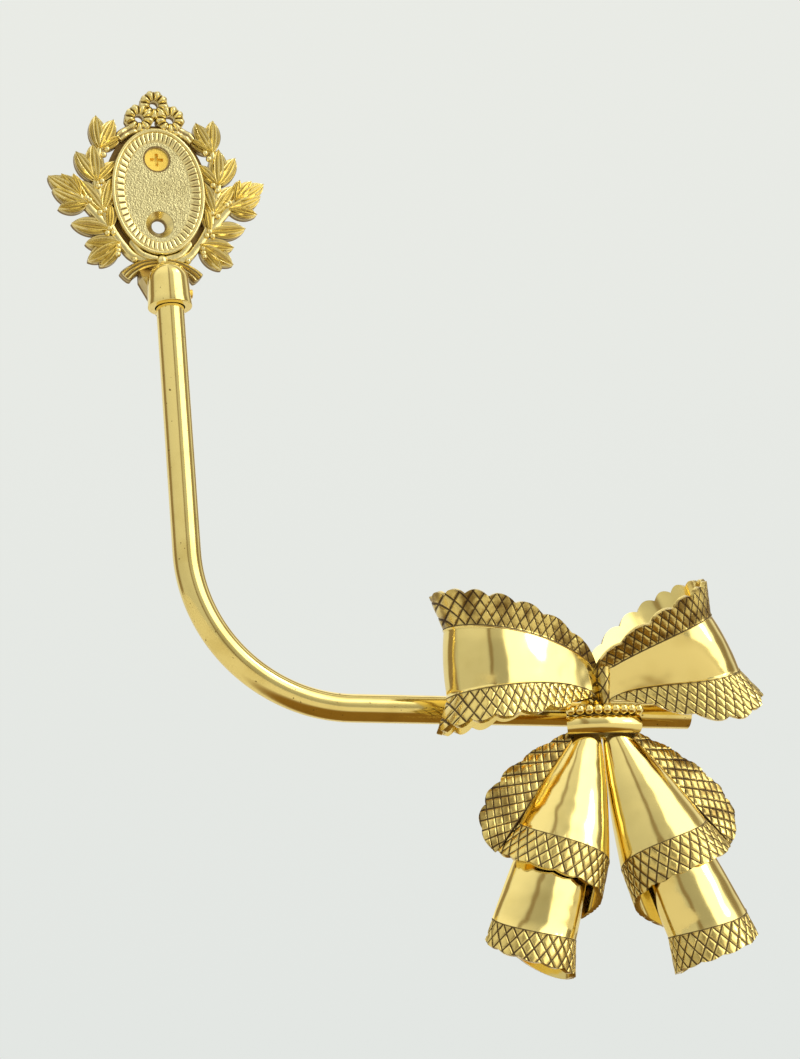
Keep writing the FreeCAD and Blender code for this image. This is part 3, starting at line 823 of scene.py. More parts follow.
    def across_at(self, share: float, height: float) -> tuple[float, float]:
        """Place across the ribbon within its scalloped edges.

        Args:
            share: share of the way round.
            height: share of the way from the upper to the lower edge.

        Returns:
            The place across and the width of the lace there.
        """
        rows = 2 * self.lace_rows + self.band_rows
        row = height * rows
        lace = self.widths(share, rows / 2 - row)[1]
        depth = min(self.scallop_depth, self.scallop_share * lace)
        cut = 1 - depth * (1 - scallop(share, self.scallops)) / lace
        if row < self.lace_rows:
            return 1 + (1 - row / self.lace_rows) * cut, lace
        if row > self.lace_rows + self.band_rows:
            return -1 - (row - self.lace_rows - self.band_rows) / self.lace_rows * cut, lace
        return cos(pi * (row - self.lace_rows) / self.band_rows), lace

    def face(self, share: float, height: float) -> Mark:
        """Show face with its engraving.

        Args:
            share: share of the way round.
            height: share of the way from the upper to the lower edge.

        Returns:
            Point and mark.
        """
        across, lace = self.across_at(share, height)
        along = self.length_to(share)
        distance = (abs(across) - 1) * lace
        spot = self.surface(share, across)
        if distance < 0:
            return spot, Vector((along, 0, 0))
        raised = self.engraving.relief(along, distance) * min(1.0, self.fade * sin(pi * share))
        kind = self.upper_mark if across > 0 else self.lower_mark
        mark = Vector((along, distance, kind if distance > self.border else 0.0))
        return spot + self.facing(share, across) * raised, mark

    def rear(self, share: float, height: float) -> Vector:
        """Point of the rear face."""
        across = self.across_at(share, height)[0]
        return self.surface(share, across) - self.facing(share, across) * self.wall

    def build(self, sculpt: Sculpt) -> None:
        """Adds the loop to a sculpt."""
        front = 2 * self.lace_rows + self.band_rows
        sculpt.slab(self.columns, front, self.rear_rows, self.face, self.rear)


@dataclass
class Turn:
    """One cone-like turn of a tail: a smooth sheet with a lace hem.

    Attributes:
        angle: how far it turns, in degrees.
        neck: half width and half depth at the knot.
        waist: centre x, half width, centre y, half depth at the lace line.
        hem: the same at the lower edge.
        waist_z: height of the lace line at the start, its change along the turn and its sag.
        hem_z: the same at the lower edge.
        walls: thickness at the neck and below.
        swell: outward swell of the smooth part.
        plain_from: share of the turn from which the hem has no scallops.
        corner: rise of the hem at the end of the turn.
        corner_from: share of the turn from which it rises.
        spread: distance of the neck from the middle plane.
        backset: distance of the neck behind the knot's centre.
        top: height of the neck.
        scallops: scallops of the hem.
        scallop_depth: depth of the notches.
        mark: finish mark of the lace, 1 plus its share of tarnish and painted shade.
        neck_step: place down the sheet whose normal the neck takes.
        columns, cone_rows, lace_rows, rear_rows: cells along, and down each part and the rear.
        engraving: the lace's lines.
    """

    angle: float
    neck: tuple[float, float]
    waist: Oval
    hem: Oval
    waist_z: tuple[float, float, float]
    hem_z: tuple[float, float, float]
    walls: tuple[float, float]
    swell: float
    plain_from: float
    corner: float = 0.0
    corner_from: float = 0.7
    spread: float = 4.2
    backset: float = 1.2
    top: float = -2.5
    scallops: int = 9
    scallop_depth: float = 0.7
    # Share of painted shade, with tarnish, on the hem lace.
    mark: float = 1.35
    neck_step: float = 0.02
    columns: int = 200
    cone_rows: int = 22
    lace_rows: int = 24
    rear_rows: int = 14
    engraving: Engraving = field(default_factory=Engraving)

    def ring(self, share: float, size: Oval, z: float) -> Vector:
        """Point on one oval of the turn."""
        turn = radians(self.angle) * share
        return Vector((size[0] + size[1] * cos(turn), size[2] - size[3] * sin(turn), z))

    def level(self, share: float, heights: tuple[float, float, float]) -> float:
        """Height of one line of the turn."""
        return heights[0] + heights[1] * share + heights[2] * sin(radians(self.angle) * share / 2)

    def surface(self, share: float, across: float) -> Vector:
        """Show face of the plain sheet.

        Args:
            share: share of the turn.
            across: 0 to 1 on the smooth part and 1 to 2 on the lace.

        Returns:
            The point.
        """
        high = self.ring(share, (self.spread, self.neck[0], -self.backset, self.neck[1]), self.top)
        middle = self.ring(share, self.waist, self.level(share, self.waist_z))
        if across <= 1:
            turn = radians(self.angle) * share
            out = Vector((self.waist[3] * cos(turn), -self.waist[1] * sin(turn), 0)).normalized()
            return high.lerp(middle, across) + out * (self.swell * sin(pi * across))
        rise = self.corner * max((share - self.corner_from) / (1 - self.corner_from), 0.0) ** 2
        low = self.ring(share, self.hem, self.level(share, self.hem_z) + rise)
        return middle.lerp(low, across - 1)

    def across_at(self, share: float, height: float) -> float:
        """Place down the sheet within its scalloped hem.

        Args:
            share: share of the turn.
            height: share of the way from the neck to the hem.

        Returns:
            The place, 0 to 2.
        """
        row = height * (self.cone_rows + self.lace_rows)
        if row <= self.cone_rows:
            return row / self.cone_rows
        width = (self.surface(share, 2.0) - self.surface(share, 1.0)).length
        notch = 1 - scallop(share, self.scallops) if share < self.plain_from else 0.0
        return 1 + (row - self.cone_rows) / self.lace_rows * (1 - self.scallop_depth * notch / width)

    def face(self, share: float, height: float) -> Mark:
        """Show face with its engraving.

        Args:
            share: share of the turn.
            height: share of the way from the neck to the hem.

        Returns:
            Point and mark.
        """
        across = self.across_at(share, height)
        spot = self.surface(share, across)
        along = radians(self.angle) * (self.hem[1] + self.hem[3]) / 2 * share
        if across <= 1:
            return spot, Vector((along, 0, 0))
        distance = (spot - self.surface(share, 1.0)).length
        raised = normal_of(self.surface, share, across, 2.0) * self.engraving.relief(along, distance)
        return spot + raised, Vector((along, distance, self.mark))

    def rear(self, share: float, height: float) -> Vector:
        """Rear face of the sheet.

        Args:
            share: share of the turn.
            height: share of the way from the neck to the hem.

        Returns:
            The point.
        """
        across = self.across_at(share, height)
        wall = self.walls[0] + (self.walls[1] - self.walls[0]) * min(across, 1.0)
        normal = normal_of(self.surface, share, max(across, self.neck_step), 2.0)
        return self.surface(share, across) - normal * wall

    def build(self, sculpt: Sculpt) -> None:
        """Adds the turn to a sculpt."""
        sculpt.slab(self.columns, self.cone_rows + self.lace_rows, self.rear_rows, self.face, self.rear)


@dataclass
class Wing:
    """Lace strip along the crease of a tail.

    Attributes:
        first: start of the inner line.
        last: end of the inner line.
        edge: guide points of the outer edge.
        scallops: scallops of the outer edge.
        scallop_depth: depth of the notches.
        wall: thickness of the strip.
        swell: forward swell of the strip.
        mark: finish mark of the lace, 1 plus its share of tarnish and painted shade.
        columns, rows, rear_rows: cells along, and across the front and the rear.
        engraving: the lace's lines.
    """

    first: Vector
    last: Vector
    edge: tuple[Vector, Vector, Vector, Vector]
    scallops: int = 6
    scallop_depth: float = 1.4
    wall: float = 1.8
    swell: float = 0.8
    # Nearly full share of painted shade, with tarnish, on the wing's lace.
    mark: float = 1.9
    columns: int = 120
    rows: int = 44
    rear_rows: int = 10
    engraving: Engraving = field(default_factory=lambda: Engraving(along=4.0, across=4.0, ridge=0.0))

    def surface(self, share: float, across: float) -> Vector:
        """Show face of the plain strip.

        Args:
            share: share along.
            across: 0 on the inner line and 1 on the outer edge.

        Returns:
            The point.
        """
        rest = 1 - share
        a, b, c, d = self.edge
        outer = a * rest ** 3 + b * (3 * rest ** 2 * share) + c * (3 * rest * share ** 2) + d * share ** 3
        inner = self.first.lerp(self.last, share)
        return inner.lerp(outer, across) - Vector((0, self.swell * sin(pi * across) * sin(pi * share), 0))

    def facing(self, share: float, across: float) -> Vector:
        """Normal of the strip towards the front."""
        normal = normal_of(self.surface, share, across, 1.0)
        return normal if normal.y < 0 else -normal

    def across_at(self, share: float, height: float) -> float:
        """Place across the strip within its scalloped edge.

        Args:
            share: share along.
            height: share across.

        Returns:
            The place, 0 to 1.
        """
        width = (self.surface(share, 1.0) - self.surface(share, 0.0)).length
        notch = (1 - scallop(share, self.scallops)) * min(1.0, 4 * share * (1 - share))
        return height * (1 - self.scallop_depth * notch / width)

    def face(self, share: float, height: float) -> Mark:
        """Show face with its engraving.

        Args:
            share: share along.
            height: share across.

        Returns:
            Point and mark.
        """
        across = self.across_at(share, height)
        spot = self.surface(share, across)
        along = (spot - self.first).length
        distance = (spot - self.first.lerp(self.last, share)).length
        stretch = (LACE_ALONG / self.engraving.along, LACE_ACROSS / self.engraving.across)
        mark = Vector((along * stretch[0], distance * stretch[1], self.mark))
        return spot + self.facing(share, across) * self.engraving.relief(along, distance), mark

    def rear(self, share: float, height: float) -> Vector:
        """Point of the rear face."""
        across = self.across_at(share, height)
        return self.surface(share, across) - self.facing(share, across) * self.wall

    def build(self, sculpt: Sculpt) -> None:
        """Adds the wing to a sculpt."""
        sculpt.slab(self.columns, self.rows, self.rear_rows, self.face, self.rear)


@dataclass
class Knot:
    """Knot in the middle of the bow: a bowed block with a half-round band and a row of beads.

    Attributes:
        radius: radius of the knot's bow.
        angle: how far it bows, in degrees.
        proud: how far it stands out in the middle.
        depth: depth of the block.
        inset: how far the block lies inside the radius.
        top: height of the block's top.
        band_top: height of the band's top.
        band_bottom: height of the lower edge of band and block.
        band_half: half depth of the band.
        band_sunk: how far its centre lies inside the radius.
        beads: number of beads.
        bead_diameter: their diameter.
        bead_proud: how far their centres stand out.
        bead_drop: how far their centres lie under the top.
        pleat_side: place of the lace pleat between the loops.
        pleat_radii: its radius below and above.
        pleat_height: its height.
        pleat_mark: its finish mark, 1 plus its share of tarnish and painted shade.
        boss_diameter: diameter of the boss that meets the tube.
        boss_height: height of its axis.
        boss_span: start and end of the boss.
        throat: half width and half depth of each tail's throat.
        throat_over: how far a throat reaches under the band.
        spread: distance of the throats from the middle plane.
        backset: their distance behind the knot's centre.
        steps, segments: cells round the bow and round each cone.
    """

    radius: float = 30.0
    angle: float = 48.0
    proud: float = 4.6
    depth: float = 5.2
    inset: float = 1.0
    top: float = 4.4
    band_top: float = 1.8
    band_bottom: float = -4.4
    band_half: float = 2.3
    band_sunk: float = 1.5
    beads: int = 9
    bead_diameter: float = 3.2
    bead_proud: float = 1.0
    bead_drop: float = 1.5
    pleat_side: float = 1.0
    pleat_radii: tuple[float, float] = (1.2, 2.5)
    pleat_height: float = 12.0
    # Nearly full share of painted shade, with tarnish, on the pleat.
    pleat_mark: float = 1.9
    boss_diameter: float = 10.0
    boss_height: float = 5.6
    boss_span: Range = (1.0, 13.8)
    throat: tuple[float, float] = (4.4, 2.9)
    throat_over: float = 1.0
    spread: float = 4.2
    backset: float = 1.2
    steps: int = 48
    segments: int = 40

    def axis(self) -> float:
        """Place of the bow's axis behind the knot's centre."""
        return self.radius * cos(radians(self.angle) / 2) - self.proud

    def swept(self, sculpt: Sculpt, profile: Profile, half: tuple[float, float],
              centre: tuple[float, float]) -> None:
        """Sweeps a profile round the knot's bow and closes both ends.

        Args:
            sculpt: takes the new mesh.
            profile: square and painted dark all over as shade behind the band and between the beads, or round
                and polished.
            half: half depth and half height of the profile.
            centre: radius and height of its centre.
        """
        mesh, axis = sculpt.mesh, self.axis()
        square = profile is Profile.SQUARE
        ring = bmesh.ops.create_circle(mesh, cap_ends=False, segments=profile.value,
                                       radius=2 ** 0.5 if square else 1.0)["verts"]
        upright = Matrix.Rotation(pi / 4 if square else 0.0, 3, "Z")
        bmesh.ops.rotate(mesh, verts=ring, cent=(0, 0, 0), matrix=upright)
        for vert in ring:
            vert.co = Vector((0, axis - centre[0] - half[0] * vert.co.x, centre[1] + half[1] * vert.co.y))
            # The square block takes the dark line colour all over: shade painted behind the band and between
            # the beads.
            vert[sculpt.marks] = Vector((0, 0, 1 if square else 0))
        start = Matrix.Rotation(-radians(self.angle) / 2, 3, "Z")
        bmesh.ops.rotate(mesh, verts=ring, cent=(0, axis, 0), matrix=start)
        edges = list({edge for vert in ring for edge in vert.link_edges})
        ends = list(edges)
        made = bmesh.ops.spin(mesh, geom=ring + edges, cent=(0, axis, 0), axis=(0, 0, 1),
                              angle=radians(self.angle), steps=self.steps, use_duplicate=False)
        ends += [item for item in made["geom_last"] if isinstance(item, bmesh.types.BMEdge)]
        ends = [edge for edge in ends if edge.is_valid and edge.is_boundary]
        bmesh.ops.holes_fill(mesh, edges=ends, sides=0)

    def cone(self, sculpt: Sculpt, radii: tuple[float, float], depth: float,
             shape: Matrix) -> list[bmesh.types.BMVert]:
        """Adds a closed cone or cylinder and gives its vertices."""
        return bmesh.ops.create_cone(sculpt.mesh, cap_ends=True, segments=self.segments, radius1=radii[0],
                                     radius2=radii[1], depth=depth, matrix=shape)["verts"]

    def bead_row(self, sculpt: Sculpt) -> None:
        """Adds the beads over the band.

        Args:
            sculpt: takes the new mesh.
        """
        reach = self.radius + self.bead_proud
        for index in range(self.beads):
            turn = radians(self.angle) * ((index + 0.5) / self.beads - 0.5)
            place = Vector((reach * sin(turn), self.axis() - reach * cos(turn), self.top - self.bead_drop))
            sculpt.ball(place, self.bead_diameter)

    def pleat(self, sculpt: Sculpt) -> None:
        """Adds the lace pleat that fills the gap between both loops.

        Args:
            sculpt: takes the new mesh.
        """
        place = Matrix.Translation((self.pleat_side, -self.proud, self.top + self.pleat_height / 2))
        for vert in self.cone(sculpt, self.pleat_radii, self.pleat_height, place):
            vert[sculpt.marks] = Vector((vert.co.x, vert.co.z + 1, self.pleat_mark))

    def boss(self, sculpt: Sculpt) -> None:
        """Adds the boss that meets the tube.

        Args:
            sculpt: takes the new mesh.
        """
        start, end = self.boss_span
        place = Matrix.Translation((0, (start + end) / 2, self.boss_height))
        radius = self.boss_diameter / 2
        self.cone(sculpt, (radius, radius), end - start, place @ Matrix.Rotation(pi / 2, 4, "X"))

    def throats(self, sculpt: Sculpt) -> None:
        """Adds the oval throats that both tails come out of.

        Args:
            sculpt: takes the new mesh.
        """
        height = self.band_top - self.band_bottom + self.throat_over
        middle = self.band_bottom - self.throat_over + height / 2
        for side in Side:
            place = Matrix.Translation((side.value * self.spread, -self.backset, middle))
            self.cone(sculpt, (1.0, 1.0), height, place @ Matrix.Diagonal((*self.throat, 1.0, 1.0)))

    def build(self, sculpt: Sculpt) -> None:
        """Adds the knot to a sculpt.

        Args:
            sculpt: takes the new mesh.
        """
        half = (self.depth - self.inset) / 2
        self.swept(sculpt, Profile.SQUARE, (half, (self.top - self.band_bottom) / 2),
                   (self.radius - self.inset - half, (self.top + self.band_bottom) / 2))
        self.swept(sculpt, Profile.ROUND, (self.band_half, (self.band_top - self.band_bottom) / 2),
                   (self.radius - self.band_sunk, (self.band_top + self.band_bottom) / 2))
        self.bead_row(sculpt)
        self.pleat(sculpt)
        self.boss(sculpt)
        self.throats(sculpt)


def left_loop() -> Loop:
    """The bow's left loop, level and arched."""
    return Loop(Side.LEFT, reach=48.8, lift=1.0, rise=0.19, roll=0.0, growth=0.85, band_fold=10.6,
                lace_fold=12.0, lower_fold=11.0, belly=0.0, arch=5.2, sag=0.0)


def right_loop() -> Loop:
    """The bow's right loop, steeper and with a hanging lower lace."""
    return Loop(Side.RIGHT, reach=48.6, lift=29.0, rise=-0.145, roll=10.0, growth=1.15, band_fold=9.8,
                lace_fold=12.5, lower_fold=8.4, belly=6.6, arch=3.0, sag=2.6)


def skirt() -> Turn:
    """The flared skirt of the right-hand tail.

    Returns:
        The skirt.
    """
    return Turn(angle=256.0, neck=(3.8, 2.6), waist=(16.4, 14.2, -4.4, 9.6), hem=(22.0, 16.4, -4.5, 10.5),
                waist_z=(-31.0, -20.4, 0.0), hem_z=(-39.4, -24.7, 0.0), walls=(1.2, 1.8), swell=0.9,
                plain_from=0.7)


def rolled_end() -> Turn:
    """The rolled end under that skirt.

    Returns:
        The rolled end.
    """
    return Turn(angle=282.0, neck=(2.6, 1.6), waist=(28.3, 13.0, -5.2, 7.8), hem=(30.5, 14.0, -5.5, 8.5),
                waist_z=(-60.0, 0.0, -8.0), hem_z=(-67.0, -5.0, -9.0), walls=(0.8, 1.8), swell=2.4,
                plain_from=0.62, corner=7.5)


def crease_wing() -> Wing:
    """The lace wing along that skirt's crease.

    Returns:
        The wing.
    """
    edge = (Vector((8.6, -1.5, -2.4)), Vector((27.0, -0.5, -8.0)), Vector((52.0, 0.5, -25.0)),
            Vector((39.0, -5.0, -40.2)))
    return Wing(Vector((7.6, -2.6, -3.0)), Vector((36.8, -6.0, -38.2)), edge)


@dataclass
class Bow:
    """The cast bow.

    Attributes:
        place: the knot's centre in the part's frame.
        loops: both loops.
        tail: the pieces of the right-hand tail, which the left one mirrors.
        knot: the knot.
        sheet_sharp: angle in degrees from which an edge of the ribbon shows.
        knot_sharp: the same for the knot.
    """

    place: Vector
    loops: Sequence[Loop] = field(default_factory=lambda: (left_loop(), right_loop()))
    tail: Sequence[Union[Turn, Wing]] = field(
        default_factory=lambda: (skirt(), rolled_end(), crease_wing()))
    knot: Knot = field(default_factory=Knot)
    sheet_sharp: float = 62.0
    knot_sharp: float = 50.0

    def build(self, finish: bpy.types.Material) -> None:
        """Builds the loops, the tails and the knot.

        Args:
            finish: the bow's brass.
        """
        made = []
        for loop in self.loops:
            sculpt = Sculpt()
            loop.build(sculpt)
            sculpt.move(self.place)
            name = f"bow_loop_{loop.side.name.lower()}"
            made.append(sculpt.finish(name, finish, Slot.BOW, self.sheet_sharp))
        sculpt = Sculpt()
        for sheet in self.tail:
            sheet.build(sculpt)
        sculpt.mirror()
        sculpt.move(self.place)
        made.append(sculpt.finish("bow_tails", finish, Slot.BOW, self.sheet_sharp))
        sculpt = Sculpt()
        self.knot.build(sculpt)
        sculpt.move(self.place)
        made.append(sculpt.finish("bow_knot", finish, Slot.BOW, self.knot_sharp))
        for piece in made:
            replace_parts(piece, "bow_casting")


# ---- plate


@dataclass
class Leaf:
    """One laurel leaf with its veins.

    Attributes:
        foot: its foot, as (x, z).
        tip: its tip.
        lift: how far it lies over its neighbour.
        width_ratio: width for each millimetre of length.
        cover: how far it covers the solid's edge.
        tip_cover: how far it covers the solid's tip.
        outline_power: how blunt its outline is.
        edge_height: height of its edge over the back.
        ridge_height: height of its ridge.
        ridge_power: how round it is across.
        clear: how far it lies over the solid.
        swell: further height half way.
        droop: drop of the tip.
        veins: grooves on each side.
        vein_depth: their depth.
        vein_dark: how narrow the shade painted into them is.
        edge_power: how narrow the shade painted along the edge is.
        cells: cells along, across the show face and across the underside.
    """

    foot: tuple[float, float]
    tip: tuple[float, float]
    lift: float
    width_ratio: float = 0.44
    cover: float = 0.25
    tip_cover: float = 0.75
    outline_power: float = 0.8
    edge_height: float = 2.1
    ridge_height: float = 3.5
    ridge_power: float = 1.6
    clear: float = 0.6
    swell: float = 0.5
    droop: float = 0.6
    veins: int = 3
    vein_depth: float = 0.45
    vein_dark: float = 0.25
    edge_power: float = 8.0
    cells: tuple[int, int, int] = (22, 24, 2)

    def __post_init__(self) -> None:
        """Works out the leaf's axis, width and side."""
        self.start, self.end = plate_point(*self.foot, 0.0), plate_point(*self.tip, 0.0)
        ahead = (self.end - self.start).normalized()
        self.start -= ahead * self.cover
        self.end += ahead * self.tip_cover
        self.half = (self.end - self.start).length * self.width_ratio / 2 + self.cover
        self.aside = Vector((ahead.z, 0, -ahead.x))

    def flat(self, share: float, across: float) -> Vector:
        """Point of the leaf's outline on the plate, with across from -1 to 1."""
        half = self.half * (4 * share * (1 - share)) ** self.outline_power
        return self.start.lerp(self.end, share) + self.aside * (across * half)

    def face(self, share: float, height: float) -> Mark:
        """Show face with its veins, with shade painted into the veins and along the edge.

        Args:
            share: share of the way from foot to tip.
            height: share across.

        Returns:
            Point and mark.
        """
        across = 2 * height - 1
        fade = sin(pi * share) ** 0.5
        wave = cos(pi * (self.veins + 1) * across)
        ridge = 1 - abs(across) ** self.ridge_power
        rise = self.edge_height + (self.ridge_height - self.edge_height) * ridge
        rise += self.vein_depth * fade * wave
        rise += self.clear + self.lift + self.swell * sin(pi * share) - self.droop * share
        # Shade painted into the veins and along the leaf's edge.
        dark = max(-wave - self.vein_dark, abs(across) ** self.edge_power) * fade
        return self.flat(share, across) + Vector((0, -rise, 0)), Vector((dark, 0, 0))

    def rear(self, share: float, height: float) -> Vector:
        """Point of the underside."""
        return self.flat(share, 2 * height - 1) - Vector((0, UNDERSIDE, 0))

    def build(self, sculpt: Sculpt) -> None:
        """Adds the leaf to a sculpt."""
        sculpt.slab(*self.cells, self.face, self.rear)


@dataclass
class Leaves:
    """Laurel leaves and berries on one side of the medallion.

    Attributes:
        tufts: foot of each tuft and the tips of its leaves, on the right-hand side.
        overlap: how far every other leaf lies over its neighbours.
        berries: places of the berries.
        berry_diameter: their diameter.
        berry_height: height of their centres over the back.
    """

    tufts: tuple = (
        ((18.7, 14.5), ((19.6, 25.4), (14.0, 24.2), (12.3, 18.7))),
        ((20.3, 3.1), ((26.3, 12.6), (21.0, 15.2), (14.2, 9.8))),
        ((18.4, -7.1), ((25.5, 2.9), (15.6, 3.6))),
        ((25.8, -2.2), ((35.4, 4.0), (31.3, 4.6), (27.6, 4.8))),
        ((23.6, -5.0), ((34.0, -0.4), (32.3, -6.4))),
        ((16.6, -13.2), ((28.2, -11.6), (16.0, -5.4))),
        ((13.4, -17.8), ((23.9, -18.2), (23.4, -23.9), (19.6, -25.4))),
    )
    overlap: float = 0.25
    berries: tuple = (
        (18.5, 3.0), (19.9, 1.2), (22.8, -3.7), (23.8, -2.9), (17.9, -6.8), (19.6, -7.8), (16.6, -13.2),
        (17.5, -14.8), (15.5, -14.6), (14.2, -19.1), (14.2, -20.7), (14.4, -22.0), (8.9, -23.6),
        (16.4, 14.2), (17.6, 12.2))
    berry_diameter: float = 2.1
    berry_height: float = 3.5

    def build(self, sculpt: Sculpt) -> None:
        """Adds the leaves and berries of the right-hand side.

        Args:
            sculpt: takes the new mesh.
        """
        for foot, tips in self.tufts:
            for index, tip in enumerate(tips):
                Leaf(foot, tip, self.overlap * (index % 2)).build(sculpt)
        for x, z in self.berries:
            sculpt.ball(plate_point(x, z, self.berry_height), self.berry_diameter)


@dataclass
class Strip:
    """Rounded strip along a line on the plate.

    Attributes:
        points: the line, as (x, z).
        width: its width.
        height: its height over the back.
        grooves: lengthwise grooves.
        groove_depth: their depth.
        ruffle: height of the waves along the strip.
        taper: width at the start as a share of the full width.
        ruffles: half waves along the strip.
        cover: how far it covers the solid's edge.
        rounding: height of its rounding for each millimetre of width.
        tip_from: share of the length from which the end is rounded.
        look: share of the length over which its direction is taken.
        cells: cells along for each point, across the show face and across the underside.
    """

    points: tuple
    width: float
    height: float
    grooves: int = 0
    groove_depth: float = 0.35
    ruffle: float = 0.0
    taper: float = 1.0
    ruffles: int = 6
    cover: float = 0.25
    rounding: float = 0.22
    tip_from: float = 0.88
    look: float = 0.01
    cells: tuple[int, int, int] = (12, 12, 2)

    def flat(self, share: float, across: float) -> Vector:
        """Outline of the strip on the plate.

        Args:
            share: share along.
            across: -1 to 1.

        Returns:
            The point.
        """
        line = [plate_point(x, z, 0.0) for x, z in self.points]
        ahead = smooth_line(line, share + self.look) - smooth_line(line, share - self.look)
        aside = Vector((ahead.z, 0, -ahead.x)).normalized()
        half = (self.width / 2 + self.cover) * (self.taper + (1 - self.taper) * share)
        tip = max((share - self.tip_from) / (1 - self.tip_from), 0.0)
        half *= max(1 - tip ** 2, 0.0) ** 0.5
        return smooth_line(line, share) + aside * (across * half)

    def face(self, share: float, height: float) -> Mark:
        """Show face with its grooves, with shade painted into them.

        Args:
            share: share along.
            height: share across.

        Returns:
            Point and mark.
        """
        across = 2 * height - 1
        groove = (0.5 + 0.5 * cos(pi * self.grooves * (across + 1))) * (self.grooves > 0)
        rise = self.height + self.groove_depth * (1 - groove) + self.ruffle * sin(self.ruffles * pi * share)
        rise += self.rounding * self.width * max(1 - across ** 2, 0.0) ** 0.5
        # The mark paints shade into the grooves.
        return self.flat(share, across) + Vector((0, -rise, 0)), Vector((groove, 0, 0))

    def rear(self, share: float, height: float) -> Vector:
        """Point of the underside."""
        return self.flat(share, 2 * height - 1) - Vector((0, UNDERSIDE, 0))

    def build(self, sculpt: Sculpt) -> None:
        """Adds the strip to a sculpt."""
        each, front, back = self.cells
        sculpt.slab(each * len(self.points), front, back, self.face, self.rear)


@dataclass
class Rosette:
    """One fluted ribbon ring of the crest.

    Attributes:
        centre: its centre, as (x, z).
        hole: diameter of its hole.
        diameter: outer diameter over the lobes.
        notch: depth of the notches between them.
        height: height of the grooves' floor over the back.
        lobes: number of lobes.
        lobe_height: their height over the floor.
        lobe_span: start and run of the half wave that a lobe makes from hole to edge.
        dark: shade painted between the lobes and how fast it ends.
        cells: cells round for each lobe, across the show face and across the underside.
    """

    centre: tuple[float, float]
    hole: float = 3.0
    diameter: float = 9.6
    notch: float = 0.6
    height: float = 3.3
    lobes: int = 9
    lobe_height: float = 1.5
    lobe_span: Range = (0.1, 0.75)
    dark: Range = (1.2, 2.0)
    cells: tuple[int, int, int] = (10, 12, 1)

    def lobe(self, share: float) -> float:
        """Height of the lobes round the ring, 0 to 1."""
        return abs(sin(pi * self.lobes * share))

    def flat(self, share: float, height: float) -> Vector:
        """Outline of the ring on the plate.

        Args:
            share: share round.
            height: share of the way from hole to edge.

        Returns:
            The point.
        """
        turn, inner = 2 * pi * share, self.hole / 2
        radius = inner + (self.diameter / 2 - self.notch * (1 - self.lobe(share)) - inner) * height
        return plate_point(self.centre[0] + radius * sin(turn), self.centre[1] + radius * cos(turn), 0.0)

    def face(self, share: float, height: float) -> Mark:
        """Show face with its lobes, with shade painted between them.

        Args:
            share: share round.
            height: share of the way from hole to edge.

        Returns:
            Point and mark.
        """
        lobe = self.lobe(share)
        wave = sin(pi * (self.lobe_span[0] + self.lobe_span[1] * height))
        rise = self.height + self.lobe_height * lobe * wave
        # Shade painted between the lobes.
        mark = Vector((max(self.dark[0] - self.dark[1] * lobe, 0.0), 0, 0))
        return self.flat(share, height) - Vector((0, rise, 0)), mark

    def rear(self, share: float, height: float) -> Vector:
        """Point of the underside."""
        return self.flat(share, height) - Vector((0, UNDERSIDE, 0))

    def build(self, sculpt: Sculpt) -> None:
        """Adds the ring to a sculpt."""
        each, front, back = self.cells
        sculpt.slab(each * self.lobes, front, back, self.face, self.rear)


